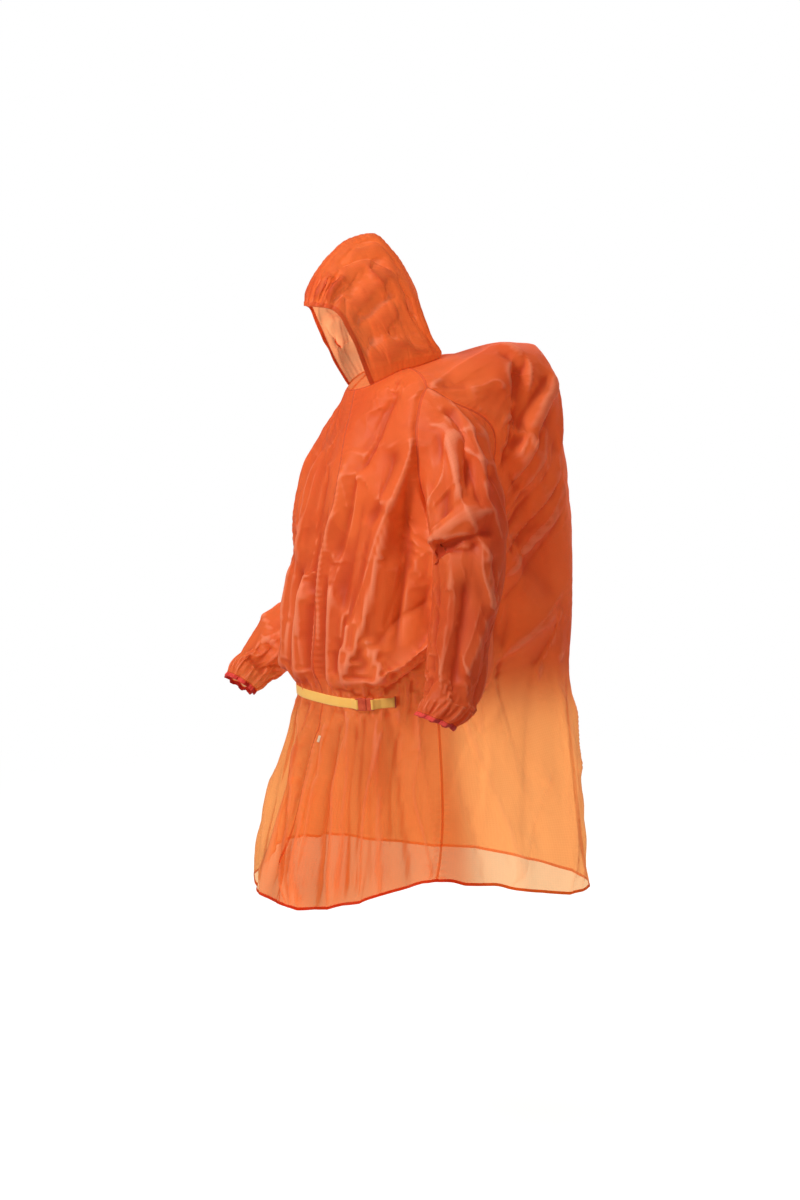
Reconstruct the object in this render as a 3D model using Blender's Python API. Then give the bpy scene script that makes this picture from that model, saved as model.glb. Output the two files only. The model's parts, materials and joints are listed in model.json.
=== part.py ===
"""Hooded rain poncho with sleeves, cut wide enough to go over a backpack, in the pose in which it is worn.

Metres, +Z up. The wearer faces -Y and the wearer's left is +X. The origin lies between the shoulders at
the base of the neck. Each piece of cloth is a closed wall lofted through rings: round the body from neck
to hem, round each arm from armhole to wrist, and over the head from brow to nape. The rings' sizes are in
the short tables, and the folds are ridges and troughs added along the outward normal.
"""

import bmesh
import bpy
import numpy as np
from mathutils import Matrix, Vector

# ------------------------------------------------------------------------------------- driving sizes
WALL = 0.0015  # cloth
SEAM_GAP = 0.0003  # between two pieces that are sewn together
HEM_LIFT = 0.0006  # how far the turned hem stands proud
HALF_GAP = SEAM_GAP / 2
DIAGONAL_MARGIN = 0.002  # a cell turns its diagonal only for a clear gain

FRONT_COLUMNS = 20  # cells across each front
BACK_COLUMNS = 34
ARM_STEPS_PER_ROW = 2  # cells round a sleeve for each row of the armhole edge
SLEEVE_ROWS = 12
HOOD_COLUMNS = 16
HOOD_ROWS = 12

ARMHOLE_TOP, ARMHOLE_LOW = 0.125, 0.40  # levels
BELT_LEVEL, BELT_HALF = 0.70, 0.010
BELT_THICK, BELT_EASE = 0.0012, 0.0004
HEM_LEVEL = 1.10

CLOTH_COLOUR = (0.86, 0.17, 0.045, 1.0)
BINDING_COLOUR = (0.62, 0.03, 0.03, 1.0)
WEBBING_COLOUR = (0.80, 0.45, 0.09, 1.0)
BUCKLE_COLOUR = (0.55, 0.08, 0.03, 1.0)
TAB_COLOUR = (0.85, 0.62, 0.40, 1.0)


# ---------------------------------------------------------------------------------------- tables
class Table:
    """Named columns of sizes against the first one, joined by smooth curves that never overshoot."""

    def __init__(self, columns, rows):
        names = columns.split()
        data = np.array(rows, dtype=float)
        self.knots = data[:, 0]
        self.columns = {name: data[:, i] for i, name in enumerate(names) if i}

    def at(self, name, place):
        knots, values = self.knots, self.columns[name]
        step = np.diff(knots)
        slope = np.diff(values) / step
        product, total = slope[1:] * slope[:-1], slope[1:] + slope[:-1]
        same_way = product > 0
        tangent = np.zeros_like(values)
        tangent[1:-1][same_way] = 2 * product[same_way] / total[same_way]
        tangent[0], tangent[-1] = slope[0], slope[-1]
        place = np.clip(np.asarray(place, dtype=float), knots[0], knots[-1])
        i = np.clip(np.searchsorted(knots, place, side="right") - 1, 0, len(step) - 1)
        u = (place - knots[i]) / step[i]
        start, end = values[i], values[i + 1]
        return (
            start * (1 + 2 * u) * (1 - u) ** 2
            + end * u**2 * (3 - 2 * u)
            + step[i] * u * (1 - u) * (tangent[i] * (1 - u) - tangent[i + 1] * u)
        )


# Rings round the body. level runs down the cloth from the neck. half_width is the reach in X, front and
# back are the reach in -Y and +Y, mid is the Y of the widest place, and the squares are 2 for an ellipse
# and more for a boxy ring. tilt lifts the wearer's left and drops the right.
BODY = Table(
    "level half_width front back mid square_front square_back z_front z_side z_back tilt",
    [
        (0.00, 0.072, 0.066, 0.132, 0.030, 2.0, 2.2, 0.014, 0.052, 0.074, 0.006),
        (0.06, 0.120, 0.084, 0.198, 0.028, 2.0, 2.4, -0.032, 0.034, 0.093, 0.022),
        (0.12, 0.176, 0.104, 0.274, 0.028, 2.0, 2.6, -0.080, -0.008, 0.110, 0.040),
        (0.18, 0.206, 0.122, 0.332, 0.042, 2.3, 2.8, -0.130, -0.070, 0.098, 0.040),
        (0.25, 0.212, 0.134, 0.372, 0.060, 2.9, 2.9, -0.190, -0.145, 0.042, 0.034),
        (0.35, 0.208, 0.142, 0.400, 0.070, 3.4, 2.9, -0.280, -0.248, -0.085, 0.024),
        (0.45, 0.206, 0.148, 0.416, 0.075, 3.6, 2.9, -0.375, -0.350, -0.215, 0.014),
        (0.55, 0.202, 0.153, 0.428, 0.075, 3.7, 2.9, -0.470, -0.450, -0.345, 0.006),
        (0.64, 0.192, 0.156, 0.434, 0.075, 3.7, 2.9, -0.550, -0.536, -0.455, 0.004),
        (0.70, 0.180, 0.146, 0.437, 0.075, 3.4, 2.9, -0.605, -0.598, -0.540, 0.008),
        (0.76, 0.200, 0.162, 0.440, 0.080, 3.0, 2.9, -0.668, -0.660, -0.620, 0.006),
        (0.86, 0.238, 0.194, 0.443, 0.090, 2.6, 2.8, -0.768, -0.755, -0.745, 0.004),
        (0.98, 0.278, 0.234, 0.448, 0.100, 2.3, 2.7, -0.890, -0.866, -0.890, 0.008),
        (1.10, 0.304, 0.268, 0.458, 0.105, 2.2, 2.6, -1.008, -0.975, -1.034, 0.012),
    ],
)

BACK_LIFT_POWER = 1.3  # how soon a ring takes its back height behind the widest place
HEM_LIFT_POWER = 1.4  # and the same at the hem, where it is sooner
HEM_START = 0.84  # level from which the hem's own shape comes in
# The hem rises beside the side seam: the angle, how wide in degrees, and how high on each side.
RISE_ANGLE, RISE_WIDE, RISE_LEFT, RISE_RIGHT = 56.0, 21.0, 0.037, 0.022

# The front seam's path: it swings to the wearer's left over the chest, as the cloth hangs.
CENTRE = Table(
    "level angle",
    [(0.00, 6.0), (0.12, 15.0), (0.22, 17.0), (0.36, 8.0), (0.50, 3.0), (0.70, 4.0), (1.10, 7.0)],
)
# The side seam's angle from centre front, and how far the armhole is cut before and behind it.
SIDE = Table(
    "level angle",
    [(0.00, 84.0), (0.12, 81.0), (0.26, 86.0), (0.40, 86.0), (0.70, 74.0), (1.10, 62.0)],
)
ARMHOLE_BEFORE, ARMHOLE_BEHIND = 22.0, 24.0  # degrees at the widest place
CUT_FADE_FRONT, CUT_FADE_BACK = 2, 4  # how soon the columns forget the armhole away from it

# Levels of the body's rows, as stretches with an equal step: from, to, rows.
ROW_STRETCHES = (
    (0.0, ARMHOLE_TOP, 4),
    (ARMHOLE_TOP, ARMHOLE_LOW, 10),
    (ARMHOLE_LOW, BELT_LEVEL - BELT_HALF, 7),
    (BELT_LEVEL - BELT_HALF, BELT_LEVEL + BELT_HALF, 1),
    (BELT_LEVEL + BELT_HALF, HEM_LEVEL - 0.006, 7),
    (HEM_LEVEL - 0.006, HEM_LEVEL, 1),
)

# Folds are straight ridges (height above 0) and troughs between two places: from, to, width, height.
# On the body a place is an angle and a level; angles are negative on the wearer's right.
FRONT_FOLDS = [
    ((58, 0.10), (29, 0.23), 0.018, -0.011),  # from the neck seam down to the breast
    ((29, 0.23), (20, 0.40), 0.016, -0.008),
    ((67, 0.19), (47, 0.32), 0.024, 0.014),  # the long diagonal from the shoulder to the buckle
    ((47, 0.32), (27, 0.66), 0.019, 0.013),
    ((54, 0.20), (38, 0.34), 0.022, -0.011),
    ((39, 0.34), (20, 0.64), 0.016, -0.009),
    ((69, 0.20), (64, 0.29), 0.015, 0.004),  # along the front of the armhole
    ((66, 0.34), (70, 0.55), 0.017, 0.010),
    ((58, 0.30), (50, 0.58), 0.018, -0.009),
    ((79, 0.40), (77, 0.60), 0.016, -0.009),
    ((24, 0.19), (10, 0.40), 0.016, 0.009),
    ((9, 0.38), (2, 0.66), 0.014, 0.009),
    ((12, 0.44), (11, 0.68), 0.013, -0.009),
    ((18, 0.44), (17, 0.68), 0.014, 0.008),
    ((71, 0.55), (46, 0.64), 0.022, 0.012),  # the swag above the buckle
    ((66, 0.62), (44, 0.68), 0.020, -0.009),
    ((40, 0.57), (45, 0.66), 0.014, 0.009),
    ((-6, 0.42), (-6, 0.68), 0.014, -0.009),
    ((-2, 0.18), (-13, 0.44), 0.018, -0.009),
    ((-13, 0.44), (-14, 0.68), 0.015, 0.010),
    ((-24, 0.14), (-24, 0.42), 0.019, 0.010),
    ((-22, 0.42), (-23, 0.68), 0.015, -0.010),
    ((-40, 0.14), (-34, 0.40), 0.019, -0.010),
    ((-33, 0.40), (-32, 0.68), 0.016, 0.012),
    ((-56, 0.16), (-46, 0.42), 0.020, 0.010),
    ((-45, 0.42), (-42, 0.68), 0.016, -0.010),
    ((-62, 0.34), (-54, 0.66), 0.020, 0.011),
    ((-72, 0.42), (-66, 0.66), 0.018, -0.010),
]
SKIRT_FOLDS = [
    ((6, 0.74), (14, 1.10), 0.020, 0.020),
    ((15, 0.76), (22, 1.10), 0.016, -0.016),
    ((27, 0.73), (29, 1.10), 0.017, 0.014),
    ((33, 0.76), (36, 1.10), 0.016, -0.014),
    ((41, 0.73), (43, 1.10), 0.017, 0.017),
    ((49, 0.74), (52, 1.10), 0.018, -0.012),
    ((60, 0.76), (63, 1.10), 0.020, 0.008),
    ((-1, 0.75), (3, 1.10), 0.018, -0.013),
    ((-9, 0.74), (-9, 1.10), 0.019, 0.015),
    ((-17, 0.76), (-19, 1.10), 0.018, -0.013),
    ((-27, 0.74), (-30, 1.10), 0.020, 0.017),
    ((-37, 0.76), (-41, 1.10), 0.019, -0.014),
    ((-48, 0.74), (-53, 1.10), 0.020, 0.014),
    ((-58, 0.78), (-65, 1.10), 0.020, -0.010),
    ((80, 0.80), (84, 1.10), 0.026, -0.009),
    ((94, 0.74), (102, 1.10), 0.028, 0.011),
    ((-76, 0.78), (-82, 1.10), 0.026, 0.012),
    ((-92, 0.80), (-100, 1.10), 0.026, -0.010),
    ((-106, 0.74), (-114, 1.10), 0.026, 0.011),
]
BACK_FOLDS = [
    ((141, 0.12), (124, 0.23), 0.020, -0.010),  # over the pack's top to behind the armhole
    ((124, 0.23), (114, 0.33), 0.018, -0.011),
    ((150, 0.10), (132, 0.24), 0.020, 0.009),
    ((155, 0.22), (116, 0.33), 0.020, 0.010),
    ((114, 0.36), (150, 0.29), 0.020, -0.009),
    ((113, 0.42), (146, 0.34), 0.018, 0.009),
    ((114, 0.46), (148, 0.39), 0.018, -0.009),
    ((114, 0.50), (145, 0.44), 0.018, 0.008),
    ((112, 0.66), (148, 0.61), 0.020, 0.008),
    ((136, 0.73), (150, 0.62), 0.020, -0.008),
    ((104, 0.50), (106, 0.72), 0.024, 0.010),
    ((120, 0.54), (118, 0.92), 0.024, -0.008),
    ((152, 0.68), (130, 1.10), 0.022, 0.020),  # the fold that hangs from the pack's corner
    ((166, 0.72), (150, 1.10), 0.026, -0.015),
    ((180, 0.62), (172, 1.10), 0.028, 0.014),
    ((-172, 0.70), (-164, 1.10), 0.026, -0.013),
    ((-158, 0.66), (-142, 1.10), 0.024, 0.017),
    ((-140, 0.74), (-128, 1.10), 0.024, -0.011),
    ((-141, 0.12), (-122, 0.26), 0.020, -0.010),
    ((-152, 0.16), (-118, 0.34), 0.020, 0.010),
    ((-114, 0.38), (-150, 0.30), 0.020, -0.009),
    ((-113, 0.46), (-147, 0.38), 0.020, 0.009),
    ((-106, 0.48), (-108, 0.70), 0.024, 0.010),
    ((-124, 0.52), (-122, 0.90), 0.024, -0.008),
    ((176, 0.20), (150, 0.36), 0.022, 0.007),
    ((-172, 0.24), (-152, 0.42), 0.022, 0.007),
]
BODY_FOLDS = FRONT_FOLDS + SKIRT_FOLDS + BACK_FOLDS
FOLD_DEPTH = 1.25  # all the folds' heights together
SKIRT_LENGTH = HEM_LEVEL - BELT_LEVEL  # the folds below the belt deepen over this length
BELT_PINCH, BELT_FLAT = 0.055, 0.12  # the belt flattens the folds to this share, within this level
BELT_REACH = 62.0  # degrees to each side


def smooth_step(share):
    share = np.clip(share, 0, 1)
    return share * share * (3 - 2 * share)


def fold_lift(across, along, across_size, along_size, folds):
    """How far folds lift the cloth. The sizes turn across (degrees or a share) and along into metres."""
    lift = np.zeros(np.broadcast(across, along).shape)
    for (across_0, along_0), (across_1, along_1), width, height in folds:
        away = ((across - across_0 + 180) % 360 - 180) * across_size
        below = (along - along_0) * along_size
        run, drop = (across_1 - across_0) * across_size, (along_1 - along_0) * along_size
        place = (away * run + below * drop) / (run**2 + drop**2)
        share = np.clip(place, 0, 1)
        distance = np.hypot(away - run * share, below - drop * share)
        lift += height * np.exp(-((distance / width) ** 2)) * smooth_step(0.35 + 3.5 * (0.5 - abs(share - 0.5)))
    return lift


# ---------------------------------------------------------------------------------- body surface
def body_smooth(angle, level):
    """Points of the body before its folds: angle from centre front towards the wearer's left."""
    turn = np.radians(angle)
    side, ahead = np.sin(turn), np.cos(turn)
    mid = BODY.at("mid", level)
    in_front = ahead > 0
    reach = np.where(in_front, BODY.at("front", level) + mid, BODY.at("back", level) - mid)
    power = np.where(in_front, BODY.at("square_front", level), BODY.at("square_back", level))
    width = BODY.at("half_width", level)
    radius = ((np.abs(side) / width) ** power + (np.abs(ahead) / reach) ** power) ** (-1 / power)
    z_end = np.where(in_front, BODY.at("z_front", level), BODY.at("z_back", level))
    z_side = BODY.at("z_side", level)
    hem = smooth_step((level - HEM_START) / (HEM_LEVEL - HEM_START))
    behind = np.abs(ahead) ** BACK_LIFT_POWER * (1 - hem) + (1 - (1 - np.abs(ahead)) ** HEM_LIFT_POWER) * hem
    share = np.where(in_front, np.abs(ahead) ** 2, behind)
    z = z_side + (z_end - z_side) * share + BODY.at("tilt", level) * side
    rise = np.where(side > 0, RISE_LEFT, RISE_RIGHT)
    away = (np.abs((angle + 180) % 360 - 180) - RISE_ANGLE) / RISE_WIDE
    z = z + rise * hem * np.exp(-(away**2))
    return np.stack([radius * side, mid - radius * ahead, z], axis=-1), radius


def normals_of(surface, first, second, step_first, step_second):
    """Unit normals of surface(first, second) from small steps either way."""
    along = surface(first + step_first, second) - surface(first - step_first, second)
    down = surface(first, second + step_second) - surface(first, second - step_second)
    normal = np.cross(down, along)
    return normal / np.linalg.norm(normal, axis=-1, keepdims=True)


def body_point(angle, level):
    """Points of the body with its folds."""
    angle, level = np.broadcast_arrays(np.asarray(angle, float), np.clip(level, 0.0, HEM_LEVEL))
    smooth, radius = body_smooth(angle, level)
    normal = normals_of(lambda a, b: body_smooth(a, b)[0], angle, level, 0.5, 0.004)
    lift = fold_lift(angle, level, np.radians(radius), 1.0, BODY_FOLDS)
    near_belt = smooth_step(1 - np.abs(level - BELT_LEVEL) / BELT_PINCH)
    in_front = smooth_step((BELT_REACH + 8 - np.abs((angle + 180) % 360 - 180)) / 16)
    lift *= 1 - (1 - BELT_FLAT) * near_belt * in_front
    lift *= FOLD_DEPTH * np.where(level > BELT_LEVEL, 0.35 + 0.65 * (level - BELT_LEVEL) / SKIRT_LENGTH, 1)
    return smooth + normal * lift[..., None]


def body_normal(angle, level):
    return normals_of(body_point, np.asarray(angle, float), np.asarray(level, float), 1.5, 0.006)


def body_levels():
    """The levels of the body's rows, from the neck to the hem."""
    levels = [0.0]
    for start, end, count in ROW_STRETCHES:
        levels += [start + (end - start) * (i + 1) / count for i in range(count)]
    return np.array(levels)


def armhole_cut(level, widest):
    along = np.clip((level - ARMHOLE_TOP) / (ARMHOLE_LOW - ARMHOLE_TOP), 0, 1)
    return widest * np.sin(np.pi * along) ** 0.8


def angle_gap(angle, level):
    """Half the seam gap, in degrees, at this place."""
    return np.degrees(HALF_GAP / body_smooth(angle, level)[1])


def front_edge(level):
    """Angle of the front panel's side edge."""
    edge = SIDE.at("angle", level) - armhole_cut(level, ARMHOLE_BEFORE)
    return edge - angle_gap(edge, level)


def back_edge(level):
    """Angle of the back panel's edge."""
    edge = SIDE.at("angle", level) + armhole_cut(level, ARMHOLE_BEHIND)
    return edge + angle_gap(edge, level)


# ------------------------------------------------------------------------------------ wall maker
def unit(vectors):
    return vectors / np.maximum(np.linalg.norm(vectors, axis=-1, keepdims=True), 1e-12)


def flatter_diagonals(grid):
    """True where a cell is better split from its second corner than from its first."""
    a, b, c, d = grid[:-1, :-1], grid[1:, :-1], grid[1:, 1:], grid[:-1, 1:]
    first = np.sum(unit(np.cross(b - a, c - a)) * unit(np.cross(c - a, d - a)), axis=-1)
    second = np.sum(unit(np.cross(b - a, d - a)) * unit(np.cross(c - b, d - b)), axis=-1)
    return second > first + DIAGONAL_MARGIN


def grid_wall(name, outer, inner, closed=False):
    """Mesh of a wall between two grids of points. closed joins the last column to the first."""
    rows, columns = outer.shape[:2]
    points = np.concatenate([outer.reshape(-1, 3), inner.reshape(-1, 3)])
    under = rows * columns
    faces = []
    spans = columns if closed else columns - 1
    turned = flatter_diagonals(np.concatenate([outer, outer[:, :1]], axis=1) if closed else outer)
    for i in range(rows - 1):
        for j in range(spans):
            k = (j + 1) % columns
            corners = [i * columns + j, (i + 1) * columns + j, (i + 1) * columns + k, i * columns + k]
            a, b, c, d = corners[1:] + corners[:1] if turned[i, j] else corners
            faces += [(a, b, c), (a, c, d)]
            faces += [(under + c, under + b, under + a), (under + d, under + c, under + a)]
    for j in range(spans):
        k = (j + 1) % columns
        last = (rows - 1) * columns
        faces.append((j, k, under + k, under + j))
        faces.append((last + k, last + j, under + last + j, under + last + k))
    if not closed:
        for i in range(rows - 1):
            a, b = i * columns, (i + 1) * columns
            faces.append((b, a, under + a, under + b))
            a, b = a + columns - 1, b + columns - 1
            faces.append((a, b, under + b, under + a))
    mesh = bpy.data.meshes.new(name)
    mesh.from_pydata([tuple(p) for p in points], [], faces)
    shape = bmesh.new()
    shape.from_mesh(mesh)
    bmesh.ops.recalc_face_normals(shape, faces=shape.faces)
    if shape.calc_volume(signed=True) < 0:
        bmesh.ops.reverse_faces(shape, faces=shape.faces)
    shape.to_mesh(mesh)
    shape.free()
    mesh.shade_smooth()
    mesh.set_sharp_from_angle(angle=np.radians(60))
    return mesh


def add_piece(name, mesh, material):
    piece = bpy.data.objects.new(name, mesh)
    mesh.materials.append(material)
    bpy.data.collections["rain_poncho"].objects.link(piece)
    return piece


def make_material(name, colour, roughness):
    material = bpy.data.materials.new(name)
    material.use_nodes = True
    shader = material.node_tree.nodes["Principled BSDF"]
    shader.inputs["Base Color"].default_value = colour
    shader.inputs["Roughness"].default_value = roughness
    shader.inputs["Metallic"].default_value = 0.0
    return material


# ---------------------------------------------------------------------------------- body panels
def panel_grid(first_edge, last_edge, columns):
    """Angles and levels of a panel's points. The edges are functions of the level."""
    level = body_levels()[:, None]
    across = np.linspace(0, 1, columns + 1)[None, :]
    angle = first_edge(level) * (1 - across) + last_edge(level) * across
    return angle, np.broadcast_to(level, angle.shape)


def front_angles(side):
    """The grid of one front: side is 1 on the wearer's left and -1 on the right."""

    def seam(level):
        return CENTRE.at("angle", level) + side * angle_gap(0.0, level)

    angle, level = panel_grid(seam, lambda level: side * front_edge(level), FRONT_COLUMNS)
    across = np.linspace(0, 1, FRONT_COLUMNS + 1)
    cut = armhole_cut(level, ARMHOLE_BEFORE) * (across**CUT_FADE_FRONT - across)
    return angle - side * cut, level


def back_angles():
    angle, level = panel_grid(back_edge, lambda level: 360 - back_edge(level), BACK_COLUMNS)
    across = np.linspace(0, 1, BACK_COLUMNS + 1)
    shift = ((1 - across) ** CUT_FADE_BACK - (1 - across)) - (across**CUT_FADE_BACK - across)
    return angle + armhole_cut(level, ARMHOLE_BEHIND) * shift, level


def hem_lift(level):
    return HEM_LIFT * (level > HEM_LEVEL - 0.008)


def body_panel(name, angle, level, material):
    outer, normal = body_point(angle, level), body_normal(angle, level)
    inner = outer - normal * WALL
    outer = outer + normal * hem_lift(level)[..., None]
    return add_piece(name, grid_wall(name, outer, inner), material)


# --------------------------------------------------------------------------------------- sleeves
# Rings down a sleeve after the armhole. x, y, z is the ring's centre on the wearer's left, fore_aft and
# in_out are its half sizes, tilt turns its outer side from up (0) to outward (90), lean drops its back
# and point narrows its ends.
SLEEVE_COLUMNS = "ring x y z fore_aft in_out tilt lean point"
SLEEVES = {
    "left": Table(
        SLEEVE_COLUMNS,
        [
            (0.10, 0.228, 0.044, -0.154, 0.079, 0.135, 6, 0, 0.40),
            (0.20, 0.254, 0.041, -0.192, 0.079, 0.110, 20, 0, 0.30),
            (0.30, 0.270, 0.037, -0.239, 0.077, 0.087, 37, 0, 0.12),
            (0.40, 0.278, 0.036, -0.293, 0.073, 0.070, 57, 2, 0.0),
            (0.52, 0.284, 0.027, -0.359, 0.065, 0.060, 77, 4, 0.0),
            (0.64, 0.289, 0.011, -0.433, 0.058, 0.056, 87, 8, 0.0),
            (0.78, 0.294, -0.003, -0.511, 0.057, 0.052, 91, 14, 0.0),
            (0.90, 0.298, -0.022, -0.572, 0.056, 0.048, 92, 20, 0.0),
            (0.96, 0.300, -0.038, -0.594, 0.050, 0.042, 92, 23, 0.0),
            (1.00, 0.300, -0.054, -0.608, 0.041, 0.035, 92, 24, 0.0),
        ],
    ),
    "right": Table(
        SLEEVE_COLUMNS,
        [
            (0.10, 0.226, 0.053, -0.209, 0.084, 0.117, 6, 0, 0.40),
            (0.20, 0.250, 0.058, -0.242, 0.083, 0.096, 21, 0, 0.30),
            (0.30, 0.265, 0.064, -0.282, 0.078, 0.077, 39, 6, 0.12),
            (0.40, 0.275, 0.064, -0.329, 0.072, 0.064, 58, 12, 0.0),
            (0.52, 0.283, 0.052, -0.384, 0.066, 0.057, 76, 24, 0.0),
            (0.64, 0.288, 0.012, -0.445, 0.061, 0.056, 88, 36, 0.0),
            (0.78, 0.289, -0.065, -0.514, 0.057, 0.053, 92, 44, 0.0),
            (0.90, 0.285, -0.128, -0.577, 0.053, 0.048, 92, 44, 0.0),
            (0.96, 0.282, -0.155, -0.600, 0.046, 0.042, 92, 42, 0.0),
            (1.00, 0.280, -0.172, -0.616, 0.036, 0.034, 92, 38, 0.0),
        ],
    ),
}
SLEEVE_JOIN = 0.14  # share of the sleeve over which the armhole's shape turns into the rings
SLEEVE_SIDE = {"left": 1, "right": -1}
# Folds on a sleeve: a place is an angle from the outer side towards the front, and a ring.
SLEEVE_LENGTH = 0.72
SLEEVE_FOLDS = {
    "left": [
        ((0, 0.05), (-12, 0.28), 0.015, 0.009),
        ((18, 0.07), (24, 0.28), 0.015, -0.010),
        ((36, 0.06), (48, 0.30), 0.016, 0.010),
        ((-24, 0.07), (-34, 0.28), 0.015, -0.010),
        ((-46, 0.08), (-56, 0.30), 0.016, 0.009),
        ((-15, 0.33), (100, 0.33), 0.017, 0.010),  # the crease across the upper arm
        ((-20, 0.38), (105, 0.38), 0.016, -0.012),
        ((0, 0.42), (-20, 0.58), 0.015, 0.009),
        ((-20, 0.58), (14, 0.80), 0.015, 0.009),
        ((14, 0.80), (-20, 0.92), 0.014, 0.007),
        ((28, 0.46), (34, 0.88), 0.016, -0.008),
        ((62, 0.44), (66, 0.92), 0.016, 0.008),
        ((-52, 0.46), (-44, 0.90), 0.016, -0.008),
        ((-84, 0.38), (-72, 0.92), 0.017, 0.009),
        ((-120, 0.44), (-112, 0.90), 0.017, -0.007),
        ((100, 0.46), (104, 0.92), 0.016, -0.007),
        ((150, 0.44), (150, 0.90), 0.017, 0.006),
    ],
    "right": [
        ((4, 0.05), (10, 0.30), 0.016, 0.009),
        ((-26, 0.07), (-20, 0.30), 0.016, -0.009),
        ((34, 0.08), (46, 0.34), 0.016, -0.009),
        ((-54, 0.10), (-48, 0.40), 0.017, 0.009),
        ((66, 0.30), (58, 0.50), 0.016, 0.009),
        ((50, 0.58), (140, 0.58), 0.015, -0.011),  # inside the elbow
        ((40, 0.63), (145, 0.65), 0.014, 0.009),
        ((50, 0.70), (140, 0.74), 0.014, -0.009),
        ((45, 0.77), (130, 0.82), 0.014, 0.008),
        ((0, 0.46), (-8, 0.90), 0.017, 0.007),
        ((-40, 0.50), (-44, 0.90), 0.017, -0.008),
        ((-84, 0.46), (-80, 0.92), 0.018, 0.009),
        ((-128, 0.50), (-124, 0.90), 0.017, -0.007),
        ((176, 0.56), (170, 0.90), 0.017, 0.008),
        ((146, 0.84), (160, 0.94), 0.014, -0.008),
    ],
}
CUFF_GATHERS, CUFF_GATHER_HEIGHT = 9, 0.0035
CUFF_WIDTH, CUFF_THICK, CUFF_BULGE = 0.009, 0.0022, 0.0008


def armhole_loop(side):
    """The armhole's edge as points, from the shoulder down the front and up the back."""
    levels = body_levels()
    levels = levels[(levels > ARMHOLE_TOP - 1e-6) & (levels < ARMHOLE_LOW + 1e-6)]
    front = body_point(side * (front_edge(levels) + 2 * angle_gap(80.0, levels)), levels)
    back = body_point(side * (back_edge(levels) - 2 * angle_gap(80.0, levels)), levels)
    shoulder, underarm = (front[0] + back[0]) / 2, (front[-1] + back[-1]) / 2
    corners = np.concatenate([[shoulder], front[1:-1], [underarm], back[-2:0:-1]])
    return corners


def split_loop(corners, steps):
    """The same closed loop with each side cut into equal steps."""
    following = np.roll(corners, -1, axis=0)
    parts = [corners + (following - corners) * k / steps for k in range(steps)]
    return np.stack(parts, axis=1).reshape(-1, 3)


def sleeve_ring(table, side, ring, around):
    """One ring of a sleeve. around is in degrees from the outer side towards the front."""
    tilt, lean = np.radians(table.at("tilt", ring)), np.radians(table.at("lean", ring))
    outward = np.array([side * np.sin(tilt), 0, np.cos(tilt)])
    forward = np.array([0, -np.cos(lean), np.sin(lean)])
    centre = np.array([side * table.at("x", ring), table.at("y", ring), table.at("z", ring)])
    turn = np.radians(around)[:, None]
    narrow = 1 - table.at("point", ring) * np.cos(turn) ** 2
    size_out, size_fore = table.at("in_out", ring), table.at("fore_aft", ring) * narrow
    return centre + outward * size_out * np.cos(turn) + forward * size_fore * np.sin(turn)


def sleeve_grid(name):
    """Outer points of a sleeve, from the armhole to the wrist."""
    side, table = SLEEVE_SIDE[name], SLEEVES[name]
    loop = split_loop(armhole_loop(side), ARM_STEPS_PER_ROW)
    count = len(loop)
    around = np.arange(count) * 360.0 / count
    rings = np.linspace(0, 1, SLEEVE_ROWS + 1) ** 0.95
    points = []
    for ring in rings:
        shape = sleeve_ring(table, side, ring, around)
        join = smooth_step(1 - ring / SLEEVE_JOIN)
        points.append(loop * join + shape * (1 - join))
    points = np.array(points)
    normal = grid_normals(points, True, side)
    degree = np.radians(table.at("fore_aft", rings))[:, None]
    lift = fold_lift(around[None, :], rings[:, None], degree, SLEEVE_LENGTH, SLEEVE_FOLDS[name])
    wrist = np.clip((rings[:, None] - 0.80) / 0.20, 0, 1) ** 1.5
    lift = lift + wrist * CUFF_GATHER_HEIGHT * np.cos(np.radians(around[None, :] * CUFF_GATHERS))
    points[1:] += (normal * lift[..., None])[1:]
    return points


def grid_normals(points, closed, side):
    """Normals of a grid, outward when the columns run from the outer side towards the front."""
    down = np.gradient(points, axis=0)
    if closed:
        along = (np.roll(points, -1, axis=1) - np.roll(points, 1, axis=1)) / 2
    else:
        along = np.gradient(points, axis=1)
    normal = np.cross(along, down) * side
    return normal / np.linalg.norm(normal, axis=-1, keepdims=True)


def sleeve(name, material):
    points = sleeve_grid(name)
    inner = points - grid_normals(points, True, SLEEVE_SIDE[name]) * WALL
    return add_piece("sleeve_" + name, grid_wall("sleeve_" + name, points, inner, closed=True), material)


def cuff(name, material):
    """The elastic binding below the sleeve's last ring."""
    side = SLEEVE_SIDE[name]
    points = sleeve_grid(name)
    down = points[-1].mean(axis=0) - points[-2].mean(axis=0)
    down /= np.linalg.norm(down)
    normal = grid_normals(points, True, side)[-1]
    normal -= down * (normal @ down)[:, None]
    normal /= np.linalg.norm(normal, axis=-1, keepdims=True)
    steps = np.array([SEAM_GAP, SEAM_GAP + CUFF_WIDTH / 2, SEAM_GAP + CUFF_WIDTH])
    bulge = np.array([0.0, CUFF_BULGE, 0.0])[:, None, None]
    outer = points[-1] + down * steps[:, None, None] + normal * bulge
    inner = outer - normal * (CUFF_THICK + bulge)
    return add_piece("cuff_" + name, grid_wall("cuff_" + name, outer, inner, closed=True), material)


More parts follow.
